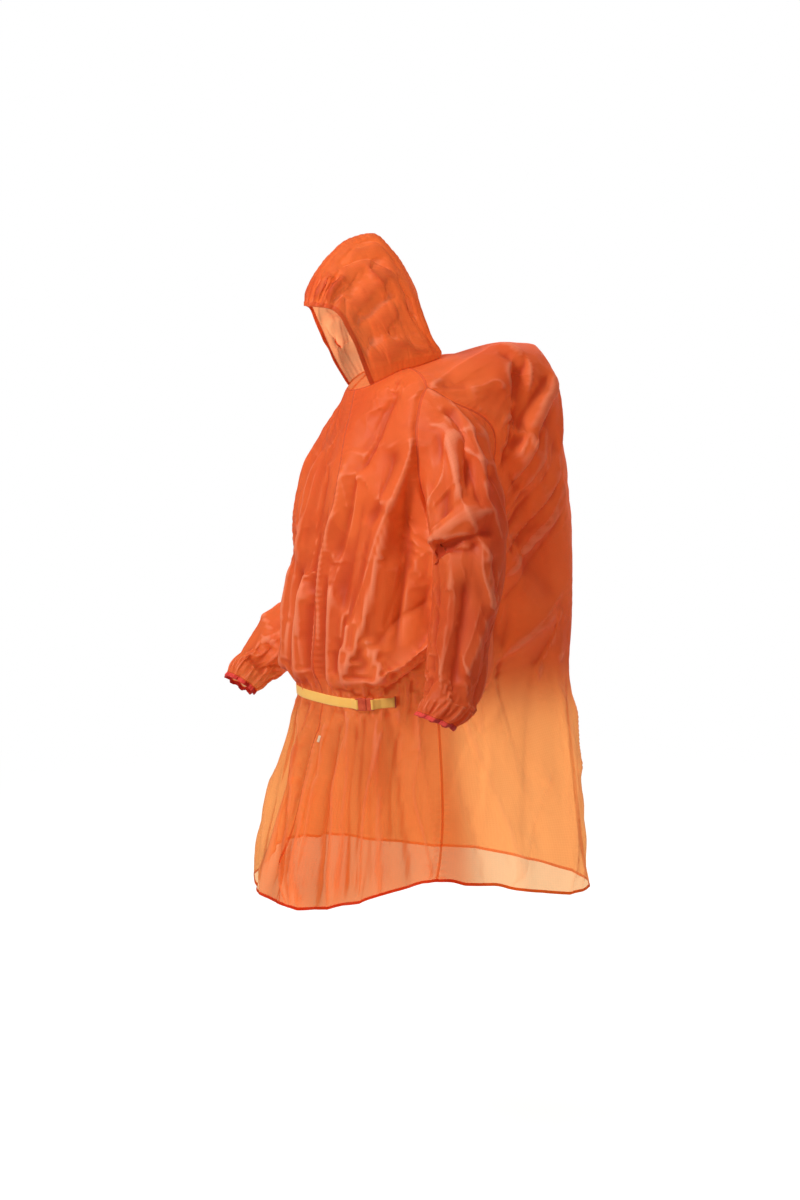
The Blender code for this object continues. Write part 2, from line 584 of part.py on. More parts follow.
# ------------------------------------------------------------------------------------------ hood
# Arches over the head from the brow (row 0) to the nape (row 1). crown_y and crown_z place the middle of
# an arch, width is its half width, base is the neck seam's angle where it ends, curve sweeps its sides
# back and box squares its upper corners.
HOOD = Table(
    "row crown_y crown_z width base curve box",
    [
        (0.00, -0.156, 0.180, 0.096, 28, 0.058, 3.4),
        (0.12, -0.142, 0.228, 0.104, 42, 0.044, 2.3),
        (0.26, -0.108, 0.276, 0.110, 60, 0.020, 1.5),
        (0.40, -0.064, 0.312, 0.110, 80, 0.006, 1.2),
        (0.54, -0.018, 0.322, 0.108, 100, 0.0, 1.1),
        (0.68, 0.028, 0.284, 0.104, 120, 0.0, 1.0),
        (0.80, 0.066, 0.222, 0.099, 140, -0.004, 1.0),
        (0.90, 0.085, 0.158, 0.087, 156, -0.006, 1.0),
        (1.00, 0.098, 0.106, 0.074, 168, -0.004, 1.0),
    ],
)
# Folds on a half of the hood: a place is a share of the way down from the crown, and a row.
HOOD_ACROSS, HOOD_ALONG = 0.30, 0.62  # lengths of an arch's half and of the crown line
HOOD_FOLDS = [
    ((0.06, 0.0), (0.10, 0.16), 0.010, 0.005),  # gathers along the brow
    ((0.14, 0.0), (0.18, 0.14), 0.009, -0.004),
    ((0.22, 0.0), (0.26, 0.17), 0.010, 0.006),
    ((0.30, 0.0), (0.33, 0.14), 0.009, -0.004),
    ((0.38, 0.0), (0.34, 0.22), 0.011, 0.007),
    ((0.47, 0.0), (0.44, 0.16), 0.010, -0.005),
    ((0.56, 0.02), (0.50, 0.20), 0.012, 0.005),
    ((0.66, 0.10), (0.36, 0.62), 0.018, 0.008),
    ((0.76, 0.10), (0.52, 0.56), 0.017, -0.007),
    ((0.24, 0.24), (0.20, 0.50), 0.018, 0.006),
    ((0.86, 0.20), (0.74, 0.62), 0.018, 0.006),
    ((0.60, 0.62), (0.92, 0.84), 0.018, 0.006),
]
NECK_EASE = 0.0004  # room for the straight steps of the two seam edges, which differ
NAPE_ROWS = 0.14  # share of the rows that turn out to meet the neck seam at the back
HOOD_TURN = -8.0  # degrees about +Z at the crown: the head looks a little to the wearer's right
HOOD_TURN_FADE = 0.5  # and the share of an arch, above the seam, over which the turn comes in


def neck_seam(side):
    """Angles and points of one half of the neck seam: the panels' own corners, with X away from the middle."""
    behind = back_angles()[0][0]
    angles = np.concatenate([side * front_angles(side)[0][0], behind[behind < 180.01]])
    return angles, body_point(side * angles, np.zeros(len(angles))) * (side, 1, 1)


def hood_grid(side):
    """Outer points of one half of the hood: rows from brow to nape, columns from crown to neck seam."""
    rows = np.linspace(0, 1, HOOD_ROWS + 1)
    down = np.linspace(0, 1, HOOD_COLUMNS + 1) ** 1.15
    corners, places = neck_seam(side)
    places = places + (0, 0, SEAM_GAP + NECK_EASE)
    points = np.zeros((len(rows), len(down), 3))
    free = np.zeros((len(rows), len(down)))
    for k, row in enumerate(rows):
        base = np.array([np.interp(HOOD.at("base", row), corners, places[:, i]) for i in range(3)])
        crown = np.array([0.0, HOOD.at("crown_y", row), HOOD.at("crown_z", row)])
        width = HOOD.at("width", row)
        drop = (1 - np.cos(np.pi / 2 * down)) ** HOOD.at("box", row)
        x = width * np.sin(np.pi / 2 * down) - (width - base[0]) * down**3
        y = crown[1] + (base[1] - crown[1]) * drop + HOOD.at("curve", row) * (x / width) ** 2 * (1 - drop)
        z = crown[2] + (base[2] - crown[2]) * drop
        arch = np.stack([x, y, z], axis=-1)
        nape = 180 + (HOOD.at("base", row) - 180) * down
        seam = np.stack([np.interp(nape, corners, places[:, i]) for i in range(3)], axis=-1)
        share = np.clip((row - 1 + NAPE_ROWS) / NAPE_ROWS, 0, 1) ** 2
        points[k] = arch * (1 - share) + seam * share
        free[k] = smooth_step((1 - down) / HOOD_TURN_FADE) * (1 - share)
    turn = np.radians(HOOD_TURN) * free
    x, y = points[..., 0] * side, points[..., 1].copy()
    points[..., 0] = x * np.cos(turn) - y * np.sin(turn)
    points[..., 1] = x * np.sin(turn) + y * np.cos(turn)
    lift = fold_lift(down[None, :], rows[:, None], HOOD_ACROSS, HOOD_ALONG, HOOD_FOLDS)
    lift *= smooth_step((1 - down[None, :]) / 0.12) * smooth_step((1 - rows[:, None]) / 0.12)
    lift *= smooth_step(down[None, :] / 0.05)
    return points + grid_normals(points, False, -side) * lift[..., None]


def hood_half(name, material):
    side = SLEEVE_SIDE[name]
    points = hood_grid(side)
    normal = grid_normals(points, False, -side)
    for edge in (normal[:, -1], normal[-1]):
        edge[:, 2] = np.minimum(edge[:, 2], 0)
        edge /= np.linalg.norm(edge, axis=-1, keepdims=True)
    points[:, 0, 0] += side * HALF_GAP
    normal[:, 0, 0] = 0
    inner = points - normal * WALL
    return add_piece("hood_" + name, grid_wall("hood_" + name, points, inner), material)


# ------------------------------------------------------------------------------------------ belt
SLIT_ANGLE = 49.5  # where the webbing goes in through the cloth, each side
BUCKLE_ANGLE = 35.0  # its middle
BUCKLE_OUT = 0.0019  # from the cloth at its middle to the buckle's back
BUCKLE_HALF_WIDE, BUCKLE_THICK, BUCKLE_SKIN = 0.0125, 0.0070, 0.0012
SOCKET_START, MOUTH, PLUG_END = -0.018, 0.004, 0.0197  # along the belt, from the buckle's middle
PLUG_THINNER, PRONG_ROOM = 0.0009, 0.0006  # each face of the plug and of its prongs
BAR, SLOT_LONG, SLOT_HALF_WIDE = 0.0026, 0.003, 0.0105  # where the webbing goes round
TAB_ANGLE, TAB_LEVEL, TAB_OUT = 9.5, 0.775, -0.0001
TAB_SIZE = (0.006, 0.014, 0.0012)  # across, down and through


def belt_piece(name, first, last, material):
    """Webbing that lies on the fronts' own points, moved out, between two angles."""
    rows = np.abs(body_levels() - BELT_LEVEL) < BELT_HALF + 1e-6
    right, left = front_angles(-1)[0][rows], front_angles(1)[0][rows]
    angle = np.concatenate([right[:, :0:-1], left], axis=1)
    inside = (angle[0] > first + 1) & (angle[0] < last - 1)
    ends = np.ones((len(angle), 1))
    angle = np.concatenate([ends * first, angle[:, inside], ends * last], axis=1)
    level = np.broadcast_to(body_levels()[rows][:, None], angle.shape)
    face, normal = body_point(angle, level), body_normal(angle, level)
    inner = face + normal * BELT_EASE
    outer = face + normal * (BELT_EASE + BELT_THICK)
    return add_piece(name, grid_wall(name, outer, inner), material)


def place_on_body(angle, level, out):
    """Frame on the cloth: X along the ring to the wearer's left, Y up the cloth, Z out."""
    normal = Vector(body_normal(angle, level))
    across = Vector(body_point(angle + 2, level) - body_point(angle - 2, level))
    across = (across - normal * across.dot(normal)).normalized()
    up = normal.cross(across)
    turn = Matrix((across, up, normal)).transposed().to_4x4()
    return Matrix.Translation(Vector(body_point(angle, level)) + normal * out) @ turn


def belt_end(along):
    """The angle at which the belt is this far along from the buckle's middle."""
    away = place_on_body(BUCKLE_ANGLE, BELT_LEVEL, 0).inverted()
    angles = np.linspace(BUCKLE_ANGLE - 10, BUCKLE_ANGLE + 10, 81)
    places = body_point(angles, np.full(len(angles), BELT_LEVEL))
    return float(np.interp(along, [(away @ Vector(place)).x for place in places], angles))


def box(name, low, high, frame, bevel=0.0):
    """A box between two corners in a frame."""
    low, high = Vector(low), Vector(high)
    shape = bmesh.new()
    bmesh.ops.create_cube(shape, size=1.0)
    bmesh.ops.scale(shape, vec=high - low, verts=shape.verts)
    bmesh.ops.translate(shape, vec=(low + high) / 2, verts=shape.verts)
    if bevel:
        bmesh.ops.bevel(shape, geom=shape.edges[:], offset=bevel, segments=1, affect="EDGES")
    mesh = bpy.data.meshes.new(name)
    shape.to_mesh(mesh)
    shape.free()
    piece = bpy.data.objects.new(name, mesh)
    piece.matrix_world = frame
    return piece


def combine(piece, others, operation):
    """Boolean each of the others into a piece; they become hidden cutters."""
    for other in others:
        bpy.data.collections["cutters"].objects.link(other)
        other.hide_render = True
        other.display_type = "WIRE"
        step = piece.modifiers.new(operation.lower(), "BOOLEAN")
        step.operation = operation
        step.object = other
        step.solver = "EXACT"


def box_pair(name, low, high, frame):
    """A box and its mirror image across the frame's X axis."""
    (x0, y0, z0), (x1, y1, z1) = low, high
    return [box(name + "_up", low, high, frame), box(name + "_down", (x0, -y1, z0), (x1, -y0, z1), frame)]


def buckle(material):
    """Side-release buckle, fastened: a socket with a window at each side, and a plug with two prongs."""
    frame = place_on_body(BUCKLE_ANGLE, BELT_LEVEL, BUCKLE_OUT)
    half, slot = BUCKLE_HALF_WIDE, SLOT_HALF_WIDE
    base, top = BUCKLE_SKIN, BUCKLE_THICK - BUCKLE_SKIN
    over, under = BUCKLE_THICK + 0.002, -0.002

    socket = box("buckle_female", (SOCKET_START, -half, 0), (MOUTH, half, BUCKLE_THICK), frame, 0.0008)
    room = box("socket_room", (-0.0095, -slot, base), (MOUTH + 0.002, slot, top), frame)
    windows = box_pair("window", (-0.009, 0.009, base), (-0.003, 0.014, top), frame)
    gate = (SOCKET_START + BAR, SOCKET_START + BAR + SLOT_LONG)
    socket_slot = box("socket_slot", (gate[0], -slot, under), (gate[1], slot, over), frame)

    start = MOUTH + SEAM_GAP
    thin = (PLUG_THINNER, BUCKLE_THICK - PLUG_THINNER)
    plug = box("buckle_male", (start, -half, thin[0]), (PLUG_END, half, thin[1]), frame, 0.0007)
    low, high = base + PRONG_ROOM, top - PRONG_ROOM
    prongs = box_pair("prong", (-0.0082, 0.0062, low), (start + 0.002, 0.0088, high), frame)
    hooks = box_pair("hook", (-0.0082, 0.0080, low), (-0.0042, 0.0118, high), frame)
    tongue = box("tongue", (-0.006, -0.002, low), (start + 0.002, 0.002, high), frame)
    gate = (PLUG_END - BAR - SLOT_LONG, PLUG_END - BAR)
    plug_slot = box("plug_slot", (gate[0], -slot, under), (gate[1], slot, over), frame)

    for piece in (socket, plug):
        piece.data.materials.append(material)
        bpy.data.collections["rain_poncho"].objects.link(piece)
    combine(socket, [room, *windows, socket_slot], "DIFFERENCE")
    combine(plug, [*prongs, *hooks, tongue], "UNION")
    combine(plug, [plug_slot], "DIFFERENCE")


def tab(material):
    across, down, through = TAB_SIZE
    frame = place_on_body(TAB_ANGLE, TAB_LEVEL, TAB_OUT)
    piece = box("tab_front", (-across / 2, -down / 2, 0), (across / 2, down / 2, through), frame, 0.0003)
    piece.data.materials.append(material)
    bpy.data.collections["rain_poncho"].objects.link(piece)


# ------------------------------------------------------------------------------------------ build
def build():
    for old in list(bpy.data.objects):
        bpy.data.objects.remove(old, do_unlink=True)
    collection = bpy.data.collections.new("rain_poncho")
    bpy.context.scene.collection.children.link(collection)
    bpy.context.scene.collection.children.link(bpy.data.collections.new("cutters"))
    cloth = make_material("coated_nylon", CLOTH_COLOUR, 0.35)
    binding = make_material("elastic_binding", BINDING_COLOUR, 0.6)
    webbing = make_material("webbing", WEBBING_COLOUR, 0.7)

    for side, name in ((1, "left"), (-1, "right")):
        body_panel("front_" + name, *front_angles(side), cloth)
    body_panel("back", *back_angles(), cloth)
    for name in ("left", "right"):
        sleeve(name, cloth)
        cuff(name, binding)
        hood_half(name, cloth)
    belt_piece("belt_right", -SLIT_ANGLE, belt_end(SOCKET_START - SEAM_GAP), webbing)
    belt_piece("belt_left", belt_end(PLUG_END + SEAM_GAP), SLIT_ANGLE, webbing)
    buckle(make_material("buckle_plastic", BUCKLE_COLOUR, 0.35))
    tab(make_material("tab_webbing", TAB_COLOUR, 0.6))


build()
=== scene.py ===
"""Looks for the hooded rain poncho: thin translucent cloth with folds, creases, seams, hems and a belt.

Metres, +Z up, the wearer faces -Y. Each panel is a grid of points on the same rings as its solid. A short
cloth simulation makes the grids buckle by at most SIM_CAP. They are then refined, and get small wrinkles,
creases and gathers beside the seams. Seams, hems, cuffs, belt and stitches are laid on the finished grids.
"""

import json
import math

import bpy
import numpy as np
from mathutils import Matrix, Vector

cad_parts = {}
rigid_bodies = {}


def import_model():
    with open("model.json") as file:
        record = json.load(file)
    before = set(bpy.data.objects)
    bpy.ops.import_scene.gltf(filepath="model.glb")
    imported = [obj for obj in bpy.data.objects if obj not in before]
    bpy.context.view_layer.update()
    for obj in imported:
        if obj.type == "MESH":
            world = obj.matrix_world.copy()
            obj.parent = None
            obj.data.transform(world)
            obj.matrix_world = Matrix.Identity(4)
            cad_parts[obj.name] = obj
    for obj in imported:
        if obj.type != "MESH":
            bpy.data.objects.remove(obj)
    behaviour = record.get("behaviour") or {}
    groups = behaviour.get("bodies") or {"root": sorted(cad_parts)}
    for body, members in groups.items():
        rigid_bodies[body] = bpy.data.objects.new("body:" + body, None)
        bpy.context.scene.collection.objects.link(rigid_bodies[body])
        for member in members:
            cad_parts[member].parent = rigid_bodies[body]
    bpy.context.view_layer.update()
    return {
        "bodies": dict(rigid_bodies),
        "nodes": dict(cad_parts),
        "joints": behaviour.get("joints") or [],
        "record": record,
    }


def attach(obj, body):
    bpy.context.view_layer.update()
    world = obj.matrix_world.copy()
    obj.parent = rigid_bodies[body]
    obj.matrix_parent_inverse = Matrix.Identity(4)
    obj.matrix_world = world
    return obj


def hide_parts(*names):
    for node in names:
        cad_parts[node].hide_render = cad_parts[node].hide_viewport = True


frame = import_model()

# ------------------------------------------------------------------------------------- camera
AIM, DISTANCE = Vector((0.022, 0.034, -0.418)), 5.0
AZIMUTH, ELEVATION = 58.0, 9.0  # degrees, to the wearer's left of straight ahead and above the level
LENS, SENSOR = 73.5, 36.0


def aim_from(thing, azimuth, elevation, distance):
    """Puts a camera or a light into the scene, so that it looks at the aim from a direction in degrees."""
    a, e = math.radians(azimuth), math.radians(elevation)
    back = Vector((math.sin(a) * math.cos(e), -math.cos(a) * math.cos(e), math.sin(e)))
    thing.location = AIM + back * distance
    thing.rotation_mode = "QUATERNION"
    thing.rotation_quaternion = (-back).to_track_quat("-Z", "Y")
    bpy.context.scene.collection.objects.link(thing)


def make_camera():
    data = bpy.data.cameras.new("camera")
    data.lens, data.sensor_width = LENS, SENSOR
    camera = bpy.data.objects.new("camera", data)
    aim_from(camera, AZIMUTH, ELEVATION, DISTANCE)
    bpy.context.scene.camera = camera


make_camera()

# -------------------------------------------------------------------------------------- sizes
ARMHOLE_TOP, ARMHOLE_LOW = 0.125, 0.40
BELT_LEVEL, BELT_HALF = 0.70, 0.010
HEM_LEVEL = 1.10
FOLD_DEPTH = 1.25
SKIRT_LENGTH = HEM_LEVEL - BELT_LEVEL
BELT_PINCH, BELT_FLAT = 0.055, 0.12  # folds flatten this near the belt, down to this share
BELT_REACH, BELT_FADE = 62.0, 8  # degrees from straight ahead
SKIRT_AT_BELT, SKIRT_MORE = 0.35, 0.65  # share of a skirt fold's height under the belt, and what the hem adds
SINK = 0.0007  # the cloth lies in the middle of its solid's wall

FRONT_COLUMNS, BACK_COLUMNS, BODY_ROWS = 34, 88, 116
SLEEVE_ROWS, RING_POWER = 66, 0.95
HOOD_COLUMNS, HOOD_ROWS, ARCH_POWER = 34, 52, 1.15
REFINE = 3  # the finished grids have this many times the cells each way


class Table:
    """Named columns of sizes against the first one, joined by smooth curves that never overshoot."""

    def __init__(self, columns, rows):
        names = columns.split()
        data = np.array(rows, dtype=float)
        self.knots = data[:, 0]
        self.columns = {name: data[:, i] for i, name in enumerate(names) if i}

    def at(self, name, place):
        knots, values = self.knots, self.columns[name]
        step = np.diff(knots)
        slope = np.diff(values) / step
        product, total = slope[1:] * slope[:-1], slope[1:] + slope[:-1]
        same_way = product > 0
        tangent = np.zeros_like(values)
        tangent[1:-1][same_way] = 2 * product[same_way] / total[same_way]
        tangent[0], tangent[-1] = slope[0], slope[-1]
        place = np.clip(np.asarray(place, dtype=float), knots[0], knots[-1])
        i = np.clip(np.searchsorted(knots, place, side="right") - 1, 0, len(step) - 1)
        u = (place - knots[i]) / step[i]
        start, end = values[i], values[i + 1]
        return (
            start * (1 + 2 * u) * (1 - u) ** 2
            + end * u**2 * (3 - 2 * u)
            + step[i] * u * (1 - u) * (tangent[i] * (1 - u) - tangent[i + 1] * u)
        )


BODY = Table(
    "level half_width front back mid square_front square_back z_front z_side z_back tilt",
    [
        (0.00, 0.072, 0.066, 0.132, 0.030, 2.0, 2.2, 0.014, 0.052, 0.074, 0.006),
        (0.06, 0.120, 0.084, 0.198, 0.028, 2.0, 2.4, -0.032, 0.034, 0.093, 0.022),
        (0.12, 0.176, 0.104, 0.274, 0.028, 2.0, 2.6, -0.080, -0.008, 0.110, 0.040),
        (0.18, 0.206, 0.122, 0.332, 0.042, 2.3, 2.8, -0.130, -0.070, 0.098, 0.040),
        (0.25, 0.212, 0.134, 0.372, 0.060, 2.9, 2.9, -0.190, -0.145, 0.042, 0.034),
        (0.35, 0.208, 0.142, 0.400, 0.070, 3.4, 2.9, -0.280, -0.248, -0.085, 0.024),
        (0.45, 0.206, 0.148, 0.416, 0.075, 3.6, 2.9, -0.375, -0.350, -0.215, 0.014),
        (0.55, 0.202, 0.153, 0.428, 0.075, 3.7, 2.9, -0.470, -0.450, -0.345, 0.006),
        (0.64, 0.192, 0.156, 0.434, 0.075, 3.7, 2.9, -0.550, -0.536, -0.455, 0.004),
        (0.70, 0.180, 0.146, 0.437, 0.075, 3.4, 2.9, -0.605, -0.598, -0.540, 0.008),
        (0.76, 0.200, 0.162, 0.440, 0.080, 3.0, 2.9, -0.668, -0.660, -0.620, 0.006),
        (0.86, 0.238, 0.194, 0.443, 0.090, 2.6, 2.8, -0.768, -0.755, -0.745, 0.004),
        (0.98, 0.278, 0.234, 0.448, 0.100, 2.3, 2.7, -0.890, -0.866, -0.890, 0.008),
        (1.10, 0.304, 0.268, 0.458, 0.105, 2.2, 2.6, -1.008, -0.975, -1.034, 0.012),
    ],
)
BACK_LIFT_POWER, HEM_LIFT_POWER, HEM_START = 1.3, 1.4, 0.84
RISE_ANGLE, RISE_WIDE, RISE_LEFT, RISE_RIGHT = 56.0, 21.0, 0.037, 0.022
CENTRE = Table(
    "level angle",
    [(0.00, 6.0), (0.12, 15.0), (0.22, 17.0), (0.36, 8.0), (0.50, 3.0), (0.70, 4.0), (1.10, 7.0)],
)
SIDE = Table(
    "level angle",
    [(0.00, 84.0), (0.12, 81.0), (0.26, 86.0), (0.40, 86.0), (0.70, 74.0), (1.10, 62.0)],
)
ARMHOLE_BEFORE, ARMHOLE_BEHIND, ARMHOLE_POWER = 22.0, 24.0, 0.8
CUT_FADE_FRONT, CUT_FADE_BACK = 2, 4

# Folds: from, to, width, height. A place is an angle and a level on the body, an angle and a share of the
# length on a sleeve, and shares from crown to neck seam and from brow to nape on the hood.
FRONT_FOLDS = [
    ((58, 0.10), (29, 0.23), 0.018, -0.011),
    ((29, 0.23), (20, 0.40), 0.016, -0.008),
    ((67, 0.19), (47, 0.32), 0.024, 0.014),
    ((47, 0.32), (27, 0.66), 0.019, 0.013),
    ((54, 0.20), (38, 0.34), 0.022, -0.011),
    ((39, 0.34), (20, 0.64), 0.016, -0.009),
    ((69, 0.20), (64, 0.29), 0.015, 0.004),
    ((66, 0.34), (70, 0.55), 0.017, 0.010),
    ((58, 0.30), (50, 0.58), 0.018, -0.009),
    ((79, 0.40), (77, 0.60), 0.016, -0.009),
    ((24, 0.19), (10, 0.40), 0.016, 0.009),
    ((9, 0.38), (2, 0.66), 0.014, 0.009),
    ((12, 0.44), (11, 0.68), 0.013, -0.009),
    ((18, 0.44), (17, 0.68), 0.014, 0.008),
    ((71, 0.55), (46, 0.64), 0.022, 0.012),
    ((66, 0.62), (44, 0.68), 0.020, -0.009),
    ((40, 0.57), (45, 0.66), 0.014, 0.009),
    ((-6, 0.42), (-6, 0.68), 0.014, -0.009),
    ((-2, 0.18), (-13, 0.44), 0.018, -0.009),
    ((-13, 0.44), (-14, 0.68), 0.015, 0.010),
    ((-24, 0.14), (-24, 0.42), 0.019, 0.010),
    ((-22, 0.42), (-23, 0.68), 0.015, -0.010),
    ((-40, 0.14), (-34, 0.40), 0.019, -0.010),
    ((-33, 0.40), (-32, 0.68), 0.016, 0.012),
    ((-56, 0.16), (-46, 0.42), 0.020, 0.010),
    ((-45, 0.42), (-42, 0.68), 0.016, -0.010),
    ((-62, 0.34), (-54, 0.66), 0.020, 0.011),
    ((-72, 0.42), (-66, 0.66), 0.018, -0.010),
]
SKIRT_FOLDS = [
    ((6, 0.74), (14, 1.10), 0.020, 0.020),
    ((15, 0.76), (22, 1.10), 0.016, -0.016),
    ((27, 0.73), (29, 1.10), 0.017, 0.014),
    ((33, 0.76), (36, 1.10), 0.016, -0.014),
    ((41, 0.73), (43, 1.10), 0.017, 0.017),
    ((49, 0.74), (52, 1.10), 0.018, -0.012),
    ((60, 0.76), (63, 1.10), 0.020, 0.008),
    ((-1, 0.75), (3, 1.10), 0.018, -0.013),
    ((-9, 0.74), (-9, 1.10), 0.019, 0.015),
    ((-17, 0.76), (-19, 1.10), 0.018, -0.013),
    ((-27, 0.74), (-30, 1.10), 0.020, 0.017),
    ((-37, 0.76), (-41, 1.10), 0.019, -0.014),
    ((-48, 0.74), (-53, 1.10), 0.020, 0.014),
    ((-58, 0.78), (-65, 1.10), 0.020, -0.010),
    ((80, 0.80), (84, 1.10), 0.026, -0.009),
    ((94, 0.74), (102, 1.10), 0.028, 0.011),
    ((-76, 0.78), (-82, 1.10), 0.026, 0.012),
    ((-92, 0.80), (-100, 1.10), 0.026, -0.010),
    ((-106, 0.74), (-114, 1.10), 0.026, 0.011),
]
BACK_FOLDS = [
    ((141, 0.12), (124, 0.23), 0.020, -0.010),
    ((124, 0.23), (114, 0.33), 0.018, -0.011),
    ((150, 0.10), (132, 0.24), 0.020, 0.009),
    ((155, 0.22), (116, 0.33), 0.020, 0.010),
    ((114, 0.36), (150, 0.29), 0.020, -0.009),
    ((113, 0.42), (146, 0.34), 0.018, 0.009),
    ((114, 0.46), (148, 0.39), 0.018, -0.009),
    ((114, 0.50), (145, 0.44), 0.018, 0.008),
    ((112, 0.66), (148, 0.61), 0.020, 0.008),
    ((136, 0.73), (150, 0.62), 0.020, -0.008),
    ((104, 0.50), (106, 0.72), 0.024, 0.010),
    ((120, 0.54), (118, 0.92), 0.024, -0.008),
    ((152, 0.68), (130, 1.10), 0.022, 0.020),
    ((166, 0.72), (150, 1.10), 0.026, -0.015),
    ((180, 0.62), (172, 1.10), 0.028, 0.014),
    ((-172, 0.70), (-164, 1.10), 0.026, -0.013),
    ((-158, 0.66), (-142, 1.10), 0.024, 0.017),
    ((-140, 0.74), (-128, 1.10), 0.024, -0.011),
    ((-141, 0.12), (-122, 0.26), 0.020, -0.010),
    ((-152, 0.16), (-118, 0.34), 0.020, 0.010),
    ((-114, 0.38), (-150, 0.30), 0.020, -0.009),
    ((-113, 0.46), (-147, 0.38), 0.020, 0.009),
    ((-106, 0.48), (-108, 0.70), 0.024, 0.010),
    ((-124, 0.52), (-122, 0.90), 0.024, -0.008),
    ((176, 0.20), (150, 0.36), 0.022, 0.007),
    ((-172, 0.24), (-152, 0.42), 0.022, 0.007),
]
BODY_FOLDS = FRONT_FOLDS + SKIRT_FOLDS + BACK_FOLDS

SLEEVE_COLUMNS = "ring x y z fore_aft in_out tilt lean point"
SLEEVES = {
    "left": Table(
        SLEEVE_COLUMNS,
        [
            (0.10, 0.228, 0.044, -0.154, 0.079, 0.135, 6, 0, 0.40),
            (0.20, 0.254, 0.041, -0.192, 0.079, 0.110, 20, 0, 0.30),
            (0.30, 0.270, 0.037, -0.239, 0.077, 0.087, 37, 0, 0.12),
            (0.40, 0.278, 0.036, -0.293, 0.073, 0.070, 57, 2, 0.0),
            (0.52, 0.284, 0.027, -0.359, 0.065, 0.060, 77, 4, 0.0),
            (0.64, 0.289, 0.011, -0.433, 0.058, 0.056, 87, 8, 0.0),
            (0.78, 0.294, -0.003, -0.511, 0.057, 0.052, 91, 14, 0.0),
            (0.90, 0.298, -0.022, -0.572, 0.056, 0.048, 92, 20, 0.0),
            (0.96, 0.300, -0.038, -0.594, 0.050, 0.042, 92, 23, 0.0),
            (1.00, 0.300, -0.054, -0.608, 0.041, 0.035, 92, 24, 0.0),
        ],
    ),
    "right": Table(
        SLEEVE_COLUMNS,
        [
            (0.10, 0.226, 0.053, -0.209, 0.084, 0.117, 6, 0, 0.40),
            (0.20, 0.250, 0.058, -0.242, 0.083, 0.096, 21, 0, 0.30),
            (0.30, 0.265, 0.064, -0.282, 0.078, 0.077, 39, 6, 0.12),
            (0.40, 0.275, 0.064, -0.329, 0.072, 0.064, 58, 12, 0.0),
            (0.52, 0.283, 0.052, -0.384, 0.066, 0.057, 76, 24, 0.0),
            (0.64, 0.288, 0.012, -0.445, 0.061, 0.056, 88, 36, 0.0),
            (0.78, 0.289, -0.065, -0.514, 0.057, 0.053, 92, 44, 0.0),
            (0.90, 0.285, -0.128, -0.577, 0.053, 0.048, 92, 44, 0.0),
            (0.96, 0.282, -0.155, -0.600, 0.046, 0.042, 92, 42, 0.0),
            (1.00, 0.280, -0.172, -0.616, 0.036, 0.034, 92, 38, 0.0),
        ],
    ),
}
SLEEVE_JOIN, SLEEVE_LENGTH = 0.14, 0.72
SIDES = {"left": 1, "right": -1}
SLEEVE_FOLDS = {
    "left": [
        ((0, 0.05), (-12, 0.28), 0.015, 0.009),
        ((18, 0.07), (24, 0.28), 0.015, -0.010),
        ((36, 0.06), (48, 0.30), 0.016, 0.010),
        ((-24, 0.07), (-34, 0.28), 0.015, -0.010),
        ((-46, 0.08), (-56, 0.30), 0.016, 0.009),
        ((-15, 0.33), (100, 0.33), 0.017, 0.010),
        ((-20, 0.38), (105, 0.38), 0.016, -0.012),
        ((0, 0.42), (-20, 0.58), 0.015, 0.009),
        ((-20, 0.58), (14, 0.80), 0.015, 0.009),
        ((14, 0.80), (-20, 0.92), 0.014, 0.007),
        ((28, 0.46), (34, 0.88), 0.016, -0.008),
        ((62, 0.44), (66, 0.92), 0.016, 0.008),
        ((-52, 0.46), (-44, 0.90), 0.016, -0.008),
        ((-84, 0.38), (-72, 0.92), 0.017, 0.009),
        ((-120, 0.44), (-112, 0.90), 0.017, -0.007),
        ((100, 0.46), (104, 0.92), 0.016, -0.007),
        ((150, 0.44), (150, 0.90), 0.017, 0.006),
    ],
    "right": [
        ((4, 0.05), (10, 0.30), 0.016, 0.009),
        ((-26, 0.07), (-20, 0.30), 0.016, -0.009),
        ((34, 0.08), (46, 0.34), 0.016, -0.009),
        ((-54, 0.10), (-48, 0.40), 0.017, 0.009),
        ((66, 0.30), (58, 0.50), 0.016, 0.009),
        ((50, 0.58), (140, 0.58), 0.015, -0.011),
        ((40, 0.63), (145, 0.65), 0.014, 0.009),
        ((50, 0.70), (140, 0.74), 0.014, -0.009),
        ((45, 0.77), (130, 0.82), 0.014, 0.008),
        ((0, 0.46), (-8, 0.90), 0.017, 0.007),
        ((-40, 0.50), (-44, 0.90), 0.017, -0.008),
        ((-84, 0.46), (-80, 0.92), 0.018, 0.009),
        ((-128, 0.50), (-124, 0.90), 0.017, -0.007),
        ((176, 0.56), (170, 0.90), 0.017, 0.008),
        ((146, 0.84), (160, 0.94), 0.014, -0.008),
    ],
}
CUFF_GATHERS, CUFF_GATHER_HEIGHT, CUFF_GATHER_FROM, CUFF_GATHER_POWER = 9, 0.0035, 0.80, 1.5

